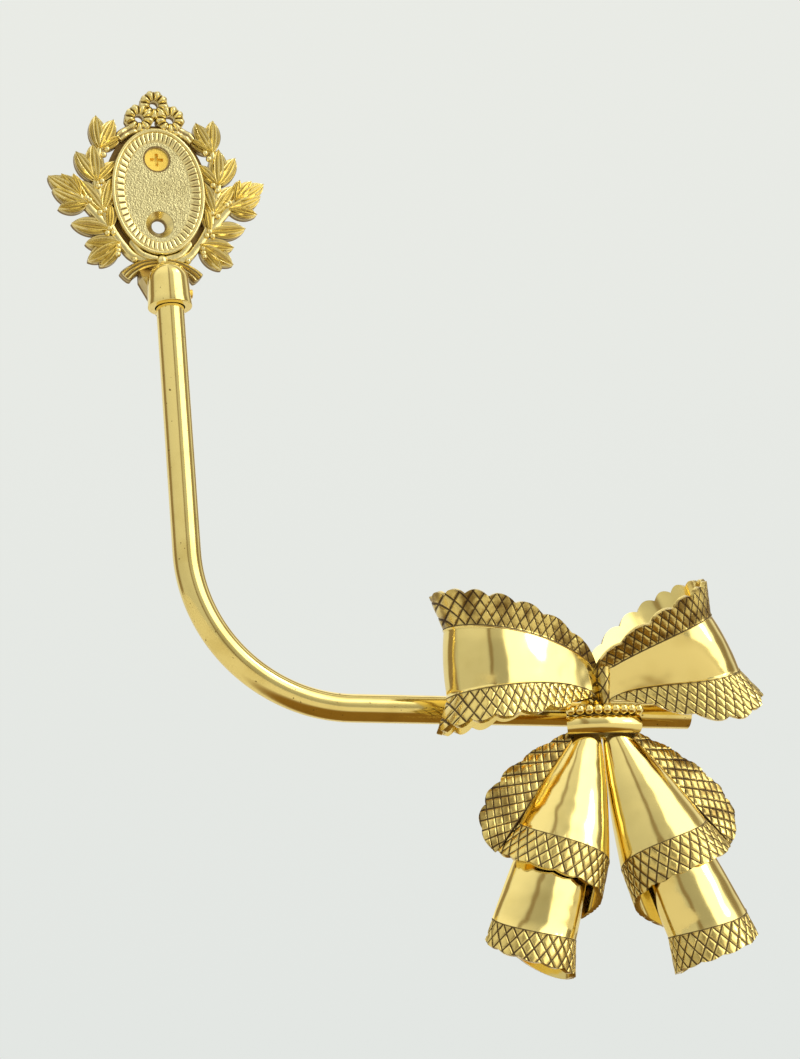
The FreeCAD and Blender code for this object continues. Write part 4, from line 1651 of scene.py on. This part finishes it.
@dataclass
class Medallion:
    """Rim, fluted ring, stippled field and open screw hole of the plate's oval.

    Attributes:
        half_width: half width of the oval.
        half_height: half height of the oval.
        rim_width: width of the rim's bead.
        rim_cover: how far the bead covers the solid's rim.
        rim_base: height of the bead's lower edge.
        rim_round: height of its rounding.
        ring_width: width of the fluted ring.
        ring_top: height of the ring at the rim.
        flutes: number of flutes.
        flute_depth: their depth.
        flute_power: how broad they are.
        flute_ends: how fast they rise at the rim and fall at the field.
        flute_rest: share of their depth that stays at the field.
        slit_dark: strength of the shade painted into the slits between them.
        slit_width: how narrow the slits are.
        slit_start: how fast the painted shade of the slits grows from the rim.
        rim_foot: height of the rim's underside.
        ring_foot: height of the ring's underside.
        field_height: height of the field.
        skin: how far the smooth faces lie over the solid.
        field_skin: how far the field lies over the solid.
        stipple: height of the stipple.
        stipple_scales: coarse and fine waves per millimetre.
        stipple_fine: share of the fine waves.
        stipple_dark: strength of the shade painted into the stipple's low spots.
        stipple_layer: place of the fine waves in the noise.
        stipple_end: how fast the stipple ends at the ring.
        field_cells: cells across and up the field.
        rim_cells: cells round, across the show face and across the underside of the rim.
        ring_cells: the same of the ring, round it for each flute.
        sink_cells: cells round and down the countersink.
        hole_spacing: distance of both screw holes.
        hole_diameter: diameter of the countersink.
        head_diameter: diameter of the gap round the screw head.
        bore_diameter: diameter of the bore.
        hole_cover: how far the field's open edge lies outside the countersink.
        hole_snap: distance inside the edge from which the field is drawn out to it.
        head_dark: strength of the shade painted round the screw head.
    """

    half_width: float = 15.5
    half_height: float = 21.8
    rim_width: float = 1.2
    rim_cover: float = 0.12
    rim_base: float = 4.0
    rim_round: float = 0.8
    ring_width: float = 3.4
    ring_top: float = 4.2
    flutes: int = 54
    flute_depth: float = 0.42
    flute_power: float = 0.5
    flute_ends: Range = (6.0, 5.0)
    flute_rest: float = 0.15
    slit_dark: float = 2.4
    slit_width: float = 1.5
    slit_start: float = 2.5
    rim_foot: float = 2.1
    ring_foot: float = 1.8
    field_height: float = 3.6
    skin: float = 0.06
    field_skin: float = 0.12
    stipple: float = 0.1
    stipple_scales: Range = (2.6, 5.3)
    stipple_fine: float = 0.8
    stipple_dark: float = 0.9
    stipple_layer: float = 7.0
    stipple_end: float = 8.0
    field_cells: tuple[int, int] = (90, 140)
    rim_cells: tuple[int, int, int] = (144, 10, 1)
    ring_cells: tuple[int, int, int] = (8, 14, 1)
    sink_cells: tuple[int, int] = (64, 8)
    hole_spacing: float = 22.6
    hole_diameter: float = 9.0
    head_diameter: float = 8.1
    bore_diameter: float = 4.6
    hole_cover: float = 0.1
    hole_snap: float = 0.32
    head_dark: float = 1.5

    def oval(self, share: float, inset: float, height: float) -> Vector:
        """Oval inside the medallion's outline.

        Args:
            share: share round.
            inset: distance from the outline.
            height: height over the back.

        Returns:
            The point.
        """
        turn = 2 * pi * share
        wide, tall = self.half_width - inset, self.half_height - inset
        return plate_point(wide * cos(turn), tall * sin(turn), height)

    def rim_face(self, share: float, height: float) -> Mark:
        """Show face of the rim's bead.

        Args:
            share: share round.
            height: share of the way from the outer to the inner edge.

        Returns:
            Point and mark.
        """
        turn = pi * height
        inset = self.rim_width / 2 - (self.rim_width / 2 + self.rim_cover) * cos(turn)
        return self.oval(share, inset, self.rim_base + self.rim_round * sin(turn)), Vector()

    def rim_rear(self, share: float, height: float) -> Vector:
        """Underside of the rim's bead."""
        return self.oval(share, self.rim_width * height, self.rim_foot)

    def ring_face(self, share: float, height: float) -> Mark:
        """Show face of the dished, fluted ring, with shade painted into the slits.

        Args:
            share: share round.
            height: share of the way from the rim to the field.

        Returns:
            Point and mark.
        """
        lobe = abs(sin(pi * self.flutes * share)) ** self.flute_power
        rising, falling = self.flute_ends[0] * height, self.flute_ends[1] * (1 - height)
        ends = min(1.0, rising) * min(1.0, falling + self.flute_rest)
        # Shade painted into the slits between the flutes.
        slit = max(1 - self.slit_width * lobe, 0.0) * min(1.0, self.slit_start * height) * min(1.0, falling)
        base = self.ring_top + (self.field_height - self.ring_top) * height
        spot = self.oval(share, self.rim_width + self.ring_width * height,
                         base + self.skin + self.flute_depth * lobe * ends)
        return spot, Vector((self.slit_dark * slit, 0, 0))

    def ring_rear(self, share: float, height: float) -> Vector:
        """Underside of the ring."""
        return self.oval(share, self.rim_width + self.ring_width * height, self.ring_foot)

    def field_face(self, share: float, height: float) -> Mark:
        """Stippled field, spread from a square to an oval, with shade painted into the stipple's low spots.

        Args:
            share: share across.
            height: share of the way up.

        Returns:
            Point and mark.
        """
        border = self.rim_width + self.ring_width
        u, v = 2 * share - 1, 2 * height - 1
        x = (self.half_width - border) * u * (1 - v * v / 2) ** 0.5
        z = (self.half_height - border) * v * (1 - u * u / 2) ** 0.5
        coarse, fine = self.stipple_scales
        grain = noise.noise(Vector((x, z, 0.0)) * coarse)
        grain += self.stipple_fine * noise.noise(Vector((x, z, self.stipple_layer)) * fine)
        edge = min(1.0, self.stipple_end * (1 - max(abs(u), abs(v))))
        rise = self.field_height + self.field_skin + self.stipple * grain * edge
        # Shade painted into the stipple's low spots.
        return plate_point(x, z, rise), Vector((max(-self.stipple_dark * grain, 0.0), 0, 0))

    def stippled_field(self, sculpt: Sculpt) -> None:
        """Adds the field, open round both screw holes, with a ring of shade painted round the screw head.

        Args:
            sculpt: takes the new mesh.
        """
        verts = sculpt.grid(*self.field_cells, self.field_face)
        sink = self.hole_diameter / 2 + self.hole_cover
        # The upper hole's edge takes a ring of painted shade round the screw head.
        holes = ((self.hole_spacing / 2, self.head_diameter / 2, self.head_dark),
                 (-self.hole_spacing / 2, sink, 0.0))
        gone = []
        for vert in verts:
            for z, reach, dark in holes:
                away = Vector((vert.co.x, vert.co.z - z))
                if away.length < reach - self.hole_snap:
                    gone.append(vert)
                elif away.length < sink:
                    edge = away.normalized() * max(away.length, reach)
                    vert.co = plate_point(edge.x, edge.y + z, self.field_height + self.skin)
                    # Edge mark: painted shade round the screw head, none at the open hole.
                    vert[sculpt.marks] = Vector((dark, 0, 0))
        bmesh.ops.delete(sculpt.mesh, geom=gone, context="VERTS")

    def countersink(self, share: float, height: float) -> Mark:
        """Smooth cone of the open screw hole.

        Args:
            share: share round.
            height: share of the way from the bore to the field.

        Returns:
            Point and mark.
        """
        turn = 2 * pi * share
        deep = (self.hole_diameter - self.bore_diameter) / 2
        reach = self.bore_diameter / 2 + deep * height
        rise = self.field_height - deep * (1 - height) + self.skin
        return plate_point(reach * cos(turn), reach * sin(turn) - self.hole_spacing / 2, rise), Vector()

    def build(self, sculpt: Sculpt) -> None:
        """Adds the smooth parts of the medallion.

        Args:
            sculpt: takes the new mesh.
        """
        each, front, back = self.ring_cells
        sculpt.slab(*self.rim_cells, self.rim_face, self.rim_rear)
        sculpt.slab(each * self.flutes, front, back, self.ring_face, self.ring_rear)
        sculpt.grid(*self.sink_cells, self.countersink)


@dataclass
class Plate:
    """Relief of the cast wall plate, laid over its solid.

    Attributes:
        rosettes: centres of the crest's ribbon rings.
        drop: height over the plate's middle, height over the back and diameter of the drop over the cup.
        stems: stems and ribbons of the right-hand side.
        leaves: leaves of the right-hand side.
        medallion: the oval in the middle.
        sharp: angle in degrees from which an edge shows.
        field_sharp: the same in the stippled field.
    """

    rosettes: tuple = ((0.0, 30.6), (-5.2, 25.6), (5.2, 25.6))
    drop: tuple[float, float, float] = (-24.2, 4.6, 3.6)
    stems: tuple = (
        Strip(((1.0, -23.4), (8.5, -22.4), (12.4, -18.4), (16.0, -12.5), (18.6, -5.0), (20.2, 4.0),
               (18.7, 15.5)), width=2.0, height=2.8),
        Strip(((14.0, -16.0), (19.0, -10.5), (23.6, -5.0), (27.0, -1.2)), width=2.0, height=2.8),
        Strip(((3.0, 22.2), (8.4, 21.4), (12.6, 18.4)), width=3.2, height=2.8, grooves=2, ruffle=0.3),
        Strip(((0.6, -24.2), (6.0, -25.2), (10.2, -27.6), (12.4, -29.8)), width=4.2, height=3.2, grooves=3,
              groove_depth=0.6, taper=0.55),
        Strip(((1.4, -23.2), (6.5, -21.4), (10.0, -17.2)), width=1.5, height=3.4),
    )
    leaves: Leaves = field(default_factory=Leaves)
    medallion: Medallion = field(default_factory=Medallion)
    sharp: float = 50.0
    field_sharp: float = 80.0

    def build(self, finish: bpy.types.Material, stippled: bpy.types.Material) -> None:
        """Builds the relief.

        Args:
            finish: the plate's brass.
            stippled: the field's brass.
        """
        sculpt = Sculpt()
        self.leaves.build(sculpt)
        for stem in self.stems:
            stem.build(sculpt)
        sculpt.mirror()
        sculpt.finish("plate_laurel", finish, Slot.PLATE, self.sharp)
        sculpt = Sculpt()
        for centre in self.rosettes:
            Rosette(centre).build(sculpt)
        up, out, diameter = self.drop
        sculpt.ball(plate_point(0.0, up, out), diameter)
        sculpt.finish("plate_crest", finish, Slot.PLATE, self.sharp)
        sculpt = Sculpt()
        self.medallion.build(sculpt)
        sculpt.finish("plate_medallion", finish, Slot.PLATE, self.sharp)
        sculpt = Sculpt()
        self.medallion.stippled_field(sculpt)
        sculpt.finish("plate_field", stippled, Slot.PLATE, self.field_sharp)


# ---- arm


@dataclass
class Arm:
    """The bent tube and its cup-shaped socket.

    Attributes:
        tube_diameter: outer diameter of the tube.
        tube_wall: its wall.
        lean: lean of the upper run forwards, in degrees.
        droop: droop of the lower run, in degrees.
        bend_radius: radius of the bend.
        corner_z: height of the corner that the bend rounds.
        reach: distance of the tube's end from the plate's middle plane.
        socket_diameter: outer diameter of the socket.
        socket_clearance: gap between tube and bore.
        socket_straight: height of the socket under its dome.
        socket_taper: how much narrower it is there.
        socket_depth: depth of the bore.
        socket_lip: rounding of the lower edge.
        socket_rim_z: height of the lower edge.
        socket_offset: distance of its middle from the plate's back.
        bow_place: distance of the knot from the plate's middle plane.
        knot_forward: distance of the knot's centre in front of the tube's axis.
        knot_drop: distance of the knot's centre under it.
        segments, bend_steps, run_steps: cells round the tube, along its bend and along both runs.
        socket_segments, socket_steps: cells round the socket and up its lip, side and dome.
        sharp: angle in degrees from which an edge shows.
    """

    tube_diameter: float = 9.0
    tube_wall: float = 1.0
    lean: float = 5.0
    droop: float = 2.1
    bend_radius: float = 51.0
    corner_z: float = -174.3
    reach: float = 161.0
    socket_diameter: float = 14.3
    socket_clearance: float = 0.4
    socket_straight: float = 9.0
    socket_taper: float = 0.45
    socket_depth: float = 11.0
    socket_lip: float = 0.35
    socket_rim_z: float = -43.0
    socket_offset: float = 13.2
    bow_place: float = 124.7
    knot_forward: float = 15.3
    knot_drop: float = 5.6
    segments: int = 56
    bend_steps: int = 60
    run_steps: tuple[int, int] = (6, 8)
    socket_segments: int = 72
    socket_steps: tuple[int, int, int] = (4, 4, 14)
    sharp: float = 40.0

    def __post_init__(self) -> None:
        """Works out the tube's directions and corner points."""
        lean, droop = radians(self.lean), radians(self.droop)
        self.down = Vector((0, -sin(lean), -cos(lean)))
        self.along = Vector((cos(droop), 0, -sin(droop)))
        self.rim = Vector((0, -self.socket_offset, self.socket_rim_z))
        self.start = self.rim - self.down * self.socket_depth
        self.corner = self.rim + self.down * ((self.socket_rim_z - self.corner_z) / cos(lean))
        self.end = self.corner + self.along * (self.reach / cos(droop))

    def knot(self) -> Vector:
        """Centre of the bow's knot."""
        point = self.corner + self.along * (self.bow_place / cos(radians(self.droop)))
        return point + Vector((0, -self.knot_forward, -self.knot_drop))

    def tube(self) -> Sculpt:
        """Tube with one round bend, with its inner wall.

        Returns:
            The sculpt.
        """
        before = -self.down
        turn = pi - before.angle(self.along)
        tangent = self.bend_radius * tan(turn / 2)
        first = self.corner + before * tangent
        last = self.corner + self.along * tangent
        centre = self.corner + (before + self.along).normalized() * (self.bend_radius / cos(turn / 2))
        axis = (first - centre).cross(last - centre).normalized()
        upper, lower = self.run_steps
        sculpt = Sculpt()
        mesh = sculpt.mesh
        mouth = Matrix.Translation(self.start) @ self.down.to_track_quat("Z", "X").to_matrix().to_4x4()
        ends = []
        for radius in (self.tube_diameter / 2, self.tube_diameter / 2 - self.tube_wall):
            ring = bmesh.ops.create_circle(mesh, cap_ends=False, segments=self.segments, radius=radius,
                                           matrix=mouth)["verts"]
            edges = list({edge for vert in ring for edge in vert.link_edges})
            ends.append(list(edges))
            for _ in range(upper):
                edges = self.drawn(mesh, edges, (first - self.start) / upper)
            made = bmesh.ops.spin(mesh, geom=edges, cent=centre, axis=axis, angle=turn,
                                  steps=self.bend_steps, use_duplicate=False)
            edges = [item for item in made["geom_last"] if isinstance(item, bmesh.types.BMEdge)]
            for _ in range(lower):
                edges = self.drawn(mesh, edges, (self.end - last) / lower)
            ends.append(edges)
        for outer, inner in zip(ends[:2], ends[2:]):
            bmesh.ops.bridge_loops(mesh, edges=outer + inner)
        return sculpt

    @staticmethod
    def drawn(mesh: bmesh.types.BMesh, edges: list, offset: Vector) -> list:
        """Draws a ring of edges out along a line.

        Args:
            mesh: the mesh.
            edges: the ring.
            offset: how far and where to.

        Returns:
            The edges of the new ring.
        """
        made = bmesh.ops.extrude_edge_only(mesh, edges=edges)["geom"]
        verts = [item for item in made if isinstance(item, bmesh.types.BMVert)]
        bmesh.ops.translate(mesh, vec=offset, verts=verts)
        fresh = set(verts)
        return [item for item in made if isinstance(item, bmesh.types.BMEdge)
                and item.verts[0] in fresh and item.verts[1] in fresh]

    def socket(self) -> Sculpt:
        """Domed cup round the end of the tube.

        Returns:
            The sculpt.
        """
        sculpt = Sculpt()
        mesh = sculpt.mesh
        radius, lip = self.socket_diameter / 2, self.socket_lip
        bore = self.tube_diameter / 2 + self.socket_clearance
        dome = radius - self.socket_taper
        profile = [(0.0, self.socket_depth), (bore, self.socket_depth), (bore, 0.0), (radius - lip, 0.0)]
        lip_steps, side_steps, dome_steps = self.socket_steps
        for step in range(1, lip_steps + 1):
            turn = pi / 2 * step / lip_steps
            profile.append((radius - lip + lip * sin(turn), lip - lip * cos(turn)))
        for step in range(1, side_steps + 1):
            up, taper = self.socket_straight * step / side_steps, self.socket_taper * step / side_steps
            profile.append((radius - taper, up))
        for step in range(1, dome_steps + 1):
            turn = pi / 2 * step / dome_steps
            profile.append((dome * cos(turn), self.socket_straight + dome * sin(turn)))
        verts = [mesh.verts.new((x, 0, z)) for x, z in profile]
        edges = [mesh.edges.new(pair) for pair in zip(verts, verts[1:])]
        bmesh.ops.spin(mesh, geom=verts + edges, cent=(0, 0, 0), axis=(0, 0, 1), angle=2 * pi,
                       steps=self.socket_segments, use_merge=True, use_duplicate=False)
        bmesh.ops.remove_doubles(mesh, verts=mesh.verts, dist=1e-3)
        turn = Matrix.Rotation(-radians(self.lean), 3, "X")
        bmesh.ops.rotate(mesh, verts=mesh.verts, cent=(0, 0, 0), matrix=turn)
        sculpt.move(self.rim)
        return sculpt

    def build(self, finish: bpy.types.Material) -> None:
        """Builds the tube and the socket."""
        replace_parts(self.tube().finish("arm_tube_polished", finish, Slot.ARM, self.sharp), "arm_tube")
        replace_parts(self.socket().finish("arm_socket_polished", finish, Slot.ARM, self.sharp), "arm_socket")


# ---- studio


@dataclass(frozen=True)
class Panel:
    """Upright panel of the room that the metal mirrors.

    Attributes:
        middle: azimuth of its middle, in degrees.
        half: half its width, in degrees.
        soft: softness of its sides, in degrees.
        level: how much light it adds, or how far it darkens.
    """

    middle: float
    half: float
    soft: float
    level: float

    def weight(self, azimuth: Value) -> Value:
        """Level of the panel at an azimuth."""
        return self.level * abs(azimuth - self.middle).step(self.half + self.soft, self.half - self.soft)


@dataclass(frozen=True)
class Lamp:
    """Soft round area lamp.

    Attributes:
        name: name of the lamp.
        place: its place in metres.
        target: the place that it points to.
        size: its diameter in metres.
        power: its power in watts.
    """

    name: str
    place: tuple[float, float, float]
    target: tuple[float, float, float]
    size: float
    power: float

    def build(self) -> None:
        """Adds the lamp to the scene."""
        data = bpy.data.lights.new(self.name, "AREA")
        data.shape = "DISK"
        data.size = self.size
        data.energy = self.power
        lamp = bpy.data.objects.new(self.name, data)
        lamp.location = self.place
        aim = Vector(self.target) - Vector(self.place)
        lamp.rotation_euler = aim.to_track_quat("-Z", "Y").to_euler()
        bpy.context.scene.collection.objects.link(lamp)


@dataclass
class Studio:
    """Floor, light, background and camera.

    Attributes:
        azimuth: camera's turn round the vertical, in degrees.
        elevation: camera's height angle, in degrees.
        roll: camera's turn about its own view, in degrees.
        focal: focal length in pixels of the image.
        place: camera's place in millimetres.
        image: width and height of the image in pixels.
        sensor: sensor's long side in millimetres.
        clip: nearest and farthest seen distance in metres.
        lamps: the lamps.
        level: light all round.
        ceiling: heights over which the light grows upwards, and by how much.
        ground: heights over which it falls downwards, and by how much.
        window: bright panel.
        window_top: heights over which the window ends.
        screens: lighter panels.
        drapes: dark panels.
        drape: colour of the dark panels.
        warmth: share of blue in the light.
        pale: background that the camera sees, below and above.
        pale_range: heights over which it changes.
        floor_z: height of the floor in millimetres.
        floor_half: half the floor's side in metres.
        floor_pale: colours of the floor.
        floor_scale: patches of colour per metre.
        floor_roughness: its roughness.
        painted_dark_patch: dark colour painted on the floor under the object, seen only in the metal's
            reflections and in bounced light.
        painted_dark_patch_place: its middle in metres.
        painted_dark_patch_range: squared distance over which it ends.
        boards: colour that the metal mirrors round it.
    """

    azimuth: float = -17.0
    elevation: float = -13.0
    roll: float = 3.8
    focal: float = 2745.0
    place: tuple[float, float, float] = (-180.24, -838.65, -315.31)
    image: tuple[int, int] = (800, 1059)
    sensor: float = 36.0
    clip: Range = (0.01, 50.0)
    lamps: tuple[Lamp, ...] = (
        Lamp("key", (1.1, -0.8, 1.3), (0.06, 0, -0.12), 0.32, 3.0),
        Lamp("fill", (1.4, -1.05, 0.3), (0.12, 0, -0.18), 0.36, 2.0),
    )
    level: float = 0.43
    ceiling: tuple[float, float, float] = (0.1, 0.9, 0.44)
    ground: tuple[float, float, float] = (0.0, -0.5, -0.34)
    window: Panel = Panel(45.0, 23.0, 3.0, 1.6)
    window_top: Range = (0.95, 0.7)
    screens: tuple[Panel, ...] = (
        Panel(-54.0, 42.0, 4.0, 0.2), Panel(180.0, 78.0, 10.0, 0.35), Panel(-180.0, 78.0, 10.0, 0.35))
    drapes: tuple[Panel, ...] = (
        Panel(-6.0, 4.0, 2.0, 0.7), Panel(84.0, 11.0, 4.0, 0.65), Panel(-118.0, 15.0, 4.0, 0.85),
        Panel(128.0, 13.0, 4.0, 0.8))
    drape: Colour = (0.2, 0.12, 0.035)
    warmth: float = 0.97
    pale: tuple[Colour, Colour] = ((0.76, 0.79, 0.765), (0.82, 0.835, 0.79))
    pale_range: Range = (-0.1, 0.5)
    floor_z: float = -380.0
    floor_half: float = 6.0
    floor_pale: tuple[Colour, Colour] = ((0.74, 0.755, 0.735), (0.78, 0.79, 0.77))
    floor_scale: float = 3.0
    floor_roughness: float = 0.9
    # Dark patch painted on the floor under the object, which the camera never sees; it darkens the metal's
    # reflections.
    painted_dark_patch: Colour = (0.24, 0.14, 0.036)
    painted_dark_patch_place: tuple[float, float] = (0.12, -0.05)
    painted_dark_patch_range: Range = (0.03, 0.10)
    boards: Colour = (0.8, 0.77, 0.70)

    def camera(self) -> None:
        """Sets the photograph's view."""
        azimuth, elevation, roll = radians(self.azimuth), radians(self.elevation), radians(self.roll)
        back = Vector((sin(azimuth) * cos(elevation), -cos(azimuth) * cos(elevation), sin(elevation)))
        right = Vector((cos(azimuth), sin(azimuth), 0))
        above = back.cross(right)
        axis_x = right * cos(roll) - above * sin(roll)
        axis_y = above * cos(roll) + right * sin(roll)
        data = bpy.data.cameras.new("camera")
        data.sensor_width = self.sensor
        data.lens = self.focal * data.sensor_width / self.image[1]
        data.clip_start, data.clip_end = self.clip
        camera = bpy.data.objects.new("camera", data)
        turn = Matrix((axis_x, axis_y, back)).transposed().to_4x4()
        camera.matrix_world = Matrix.Translation(Vector(self.place) * MM) @ turn
        bpy.context.scene.collection.objects.link(camera)
        bpy.context.scene.camera = camera

    def room(self, graph: Graph, azimuth: Value, height: Value) -> Value:
        """Room that lights the object and that the metal mirrors.

        Args:
            graph: the world's tree.
            azimuth: azimuth of a ray in degrees.
            height: upward part of its direction.

        Returns:
            The colour there.
        """
        level = self.level + height.step(*self.ceiling[:2], 0.0, self.ceiling[2])
        level = level + height.step(*self.ground[:2], 0.0, self.ground[2])
        level = level + self.window.weight(azimuth) * height.step(*self.window_top)
        for screen in self.screens:
            level = level + screen.weight(azimuth)
        dark = self.drapes[0].weight(azimuth)
        for panel in self.drapes[1:]:
            dark = dark + panel.weight(azimuth)
        lit = graph.node("ShaderNodeCombineColor", None, {0: level, 1: level, 2: level * self.warmth})
        return graph.blend(dark, Value(graph, lit.outputs[0]), self.drape)

    def world(self) -> None:
        """Pale background, and the room for light and reflections."""
        world = bpy.data.worlds.new("studio")
        bpy.context.scene.world = world
        world.use_nodes = True
        graph = Graph(world.node_tree)
        x, y, z = graph.parts(graph.coordinates("Generated"))
        turn = graph.node("ShaderNodeMath", {"operation": "ARCTAN2"}, {0: x, 1: y * -1.0})
        azimuth = Value(graph, turn.outputs[0]) * (180 / pi)
        pale = graph.blend(z.step(*self.pale_range), *self.pale)
        colour = graph.blend(graph.camera_ray(), self.room(graph, azimuth, z), pale)
        background = graph.node("ShaderNodeBackground", None, {"Color": colour, "Strength": 1.0})
        graph.node("ShaderNodeOutputWorld", None, {"Surface": background.outputs[0]})

    def floor_finish(self) -> bpy.types.Material:
        """Matt, pale floor, with a dark patch painted under the object for the metal's reflections.

        Returns:
            The material.
        """
        material = bpy.data.materials.new("floor_pale")
        material.use_nodes = True
        graph = Graph(material.node_tree)
        place = graph.coordinates("Object")
        pale = graph.blend(graph.noise(place, self.floor_scale), *self.floor_pale)
        x, y, _ = graph.parts(place)
        # Painted dark patch under the object for the metal's reflections; the camera sees the pale floor.
        x, y = x - self.painted_dark_patch_place[0], y - self.painted_dark_patch_place[1]
        mirrored = graph.blend((x * x + y * y).step(*self.painted_dark_patch_range), self.painted_dark_patch, self.boards)
        colour = graph.blend(graph.camera_ray(), mirrored, pale)
        graph.surface({"Base Color": colour, "Roughness": self.floor_roughness, "Specular IOR Level": 0.0})
        return material

    def floor(self) -> None:
        """Adds the floor under the object."""
        mesh = bmesh.new()
        bmesh.ops.create_grid(mesh, x_segments=1, y_segments=1, size=self.floor_half)
        bmesh.ops.translate(mesh, vec=(0, 0, self.floor_z * MM), verts=mesh.verts)
        data = bpy.data.meshes.new("floor")
        mesh.to_mesh(data)
        mesh.free()
        data.materials.append(self.floor_finish())
        floor = bpy.data.objects.new("floor", data)
        bpy.context.scene.collection.objects.link(floor)

    def build(self) -> None:
        """Sets up the whole stage."""
        bpy.context.scene.view_settings.view_transform = "Standard"
        self.world()
        self.floor()
        for lamp in self.lamps:
            lamp.build()
        self.camera()


# ---- whole


def dress_solids(finishes: dict[str, Brass]) -> None:
    """Gives the shown solids their finishes.

    Args:
        finishes: finish for each node.
    """
    made: dict[str, bpy.types.Material] = {}
    for node, finish in finishes.items():
        if finish.name not in made:
            made[finish.name] = finish.make()
        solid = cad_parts[node]
        solid.data.materials.clear()
        solid.data.materials.append(made[finish.name])
        LOG.info("%s: %s", node, finish.name)


def main() -> None:
    """Builds the holdback's looks and its stage."""
    logging.basicConfig(level=logging.INFO)
    bow_brass = LaceBrass("bow_brass")
    plate_brass = CastBrass("plate_brass", colour=(0.87, 0.735, 0.325), dull=(0.71, 0.575, 0.225),
                            roughness=0.2)
    field_brass = CastBrass("plate_field_brass", colour=(0.67, 0.59, 0.285), dull=(0.54, 0.465, 0.21),
                            specks=0.5, roughness=0.28, floor=2.9, top=3.7, grain=0.22, grain_scale=1800.0)
    base_brass = CastBrass("plate_base_brass", colour=(0.67, 0.52, 0.19), dull=(0.46, 0.34, 0.10),
                           roughness=0.3, grain=0.22, grain_scale=420.0)
    tube_brass = Brass("polished_brass", specks=0.8, ripple=0.12)
    screw_brass = Brass("screw_brass", colour=(0.97, 0.68, 0.13), dull=(0.88, 0.56, 0.08), roughness=0.4)
    arm = Arm()
    arm.build(tube_brass.make())
    Bow(arm.knot()).build(bow_brass.make())
    Plate().build(plate_brass.make(), field_brass.make())
    dress_solids({"wall_plate": base_brass, "wall_screw": screw_brass, "socket_grub_screw": screw_brass,
                  "bow_fixing_screw": screw_brass})
    Studio().build()


if __name__ == "__main__":
    main()
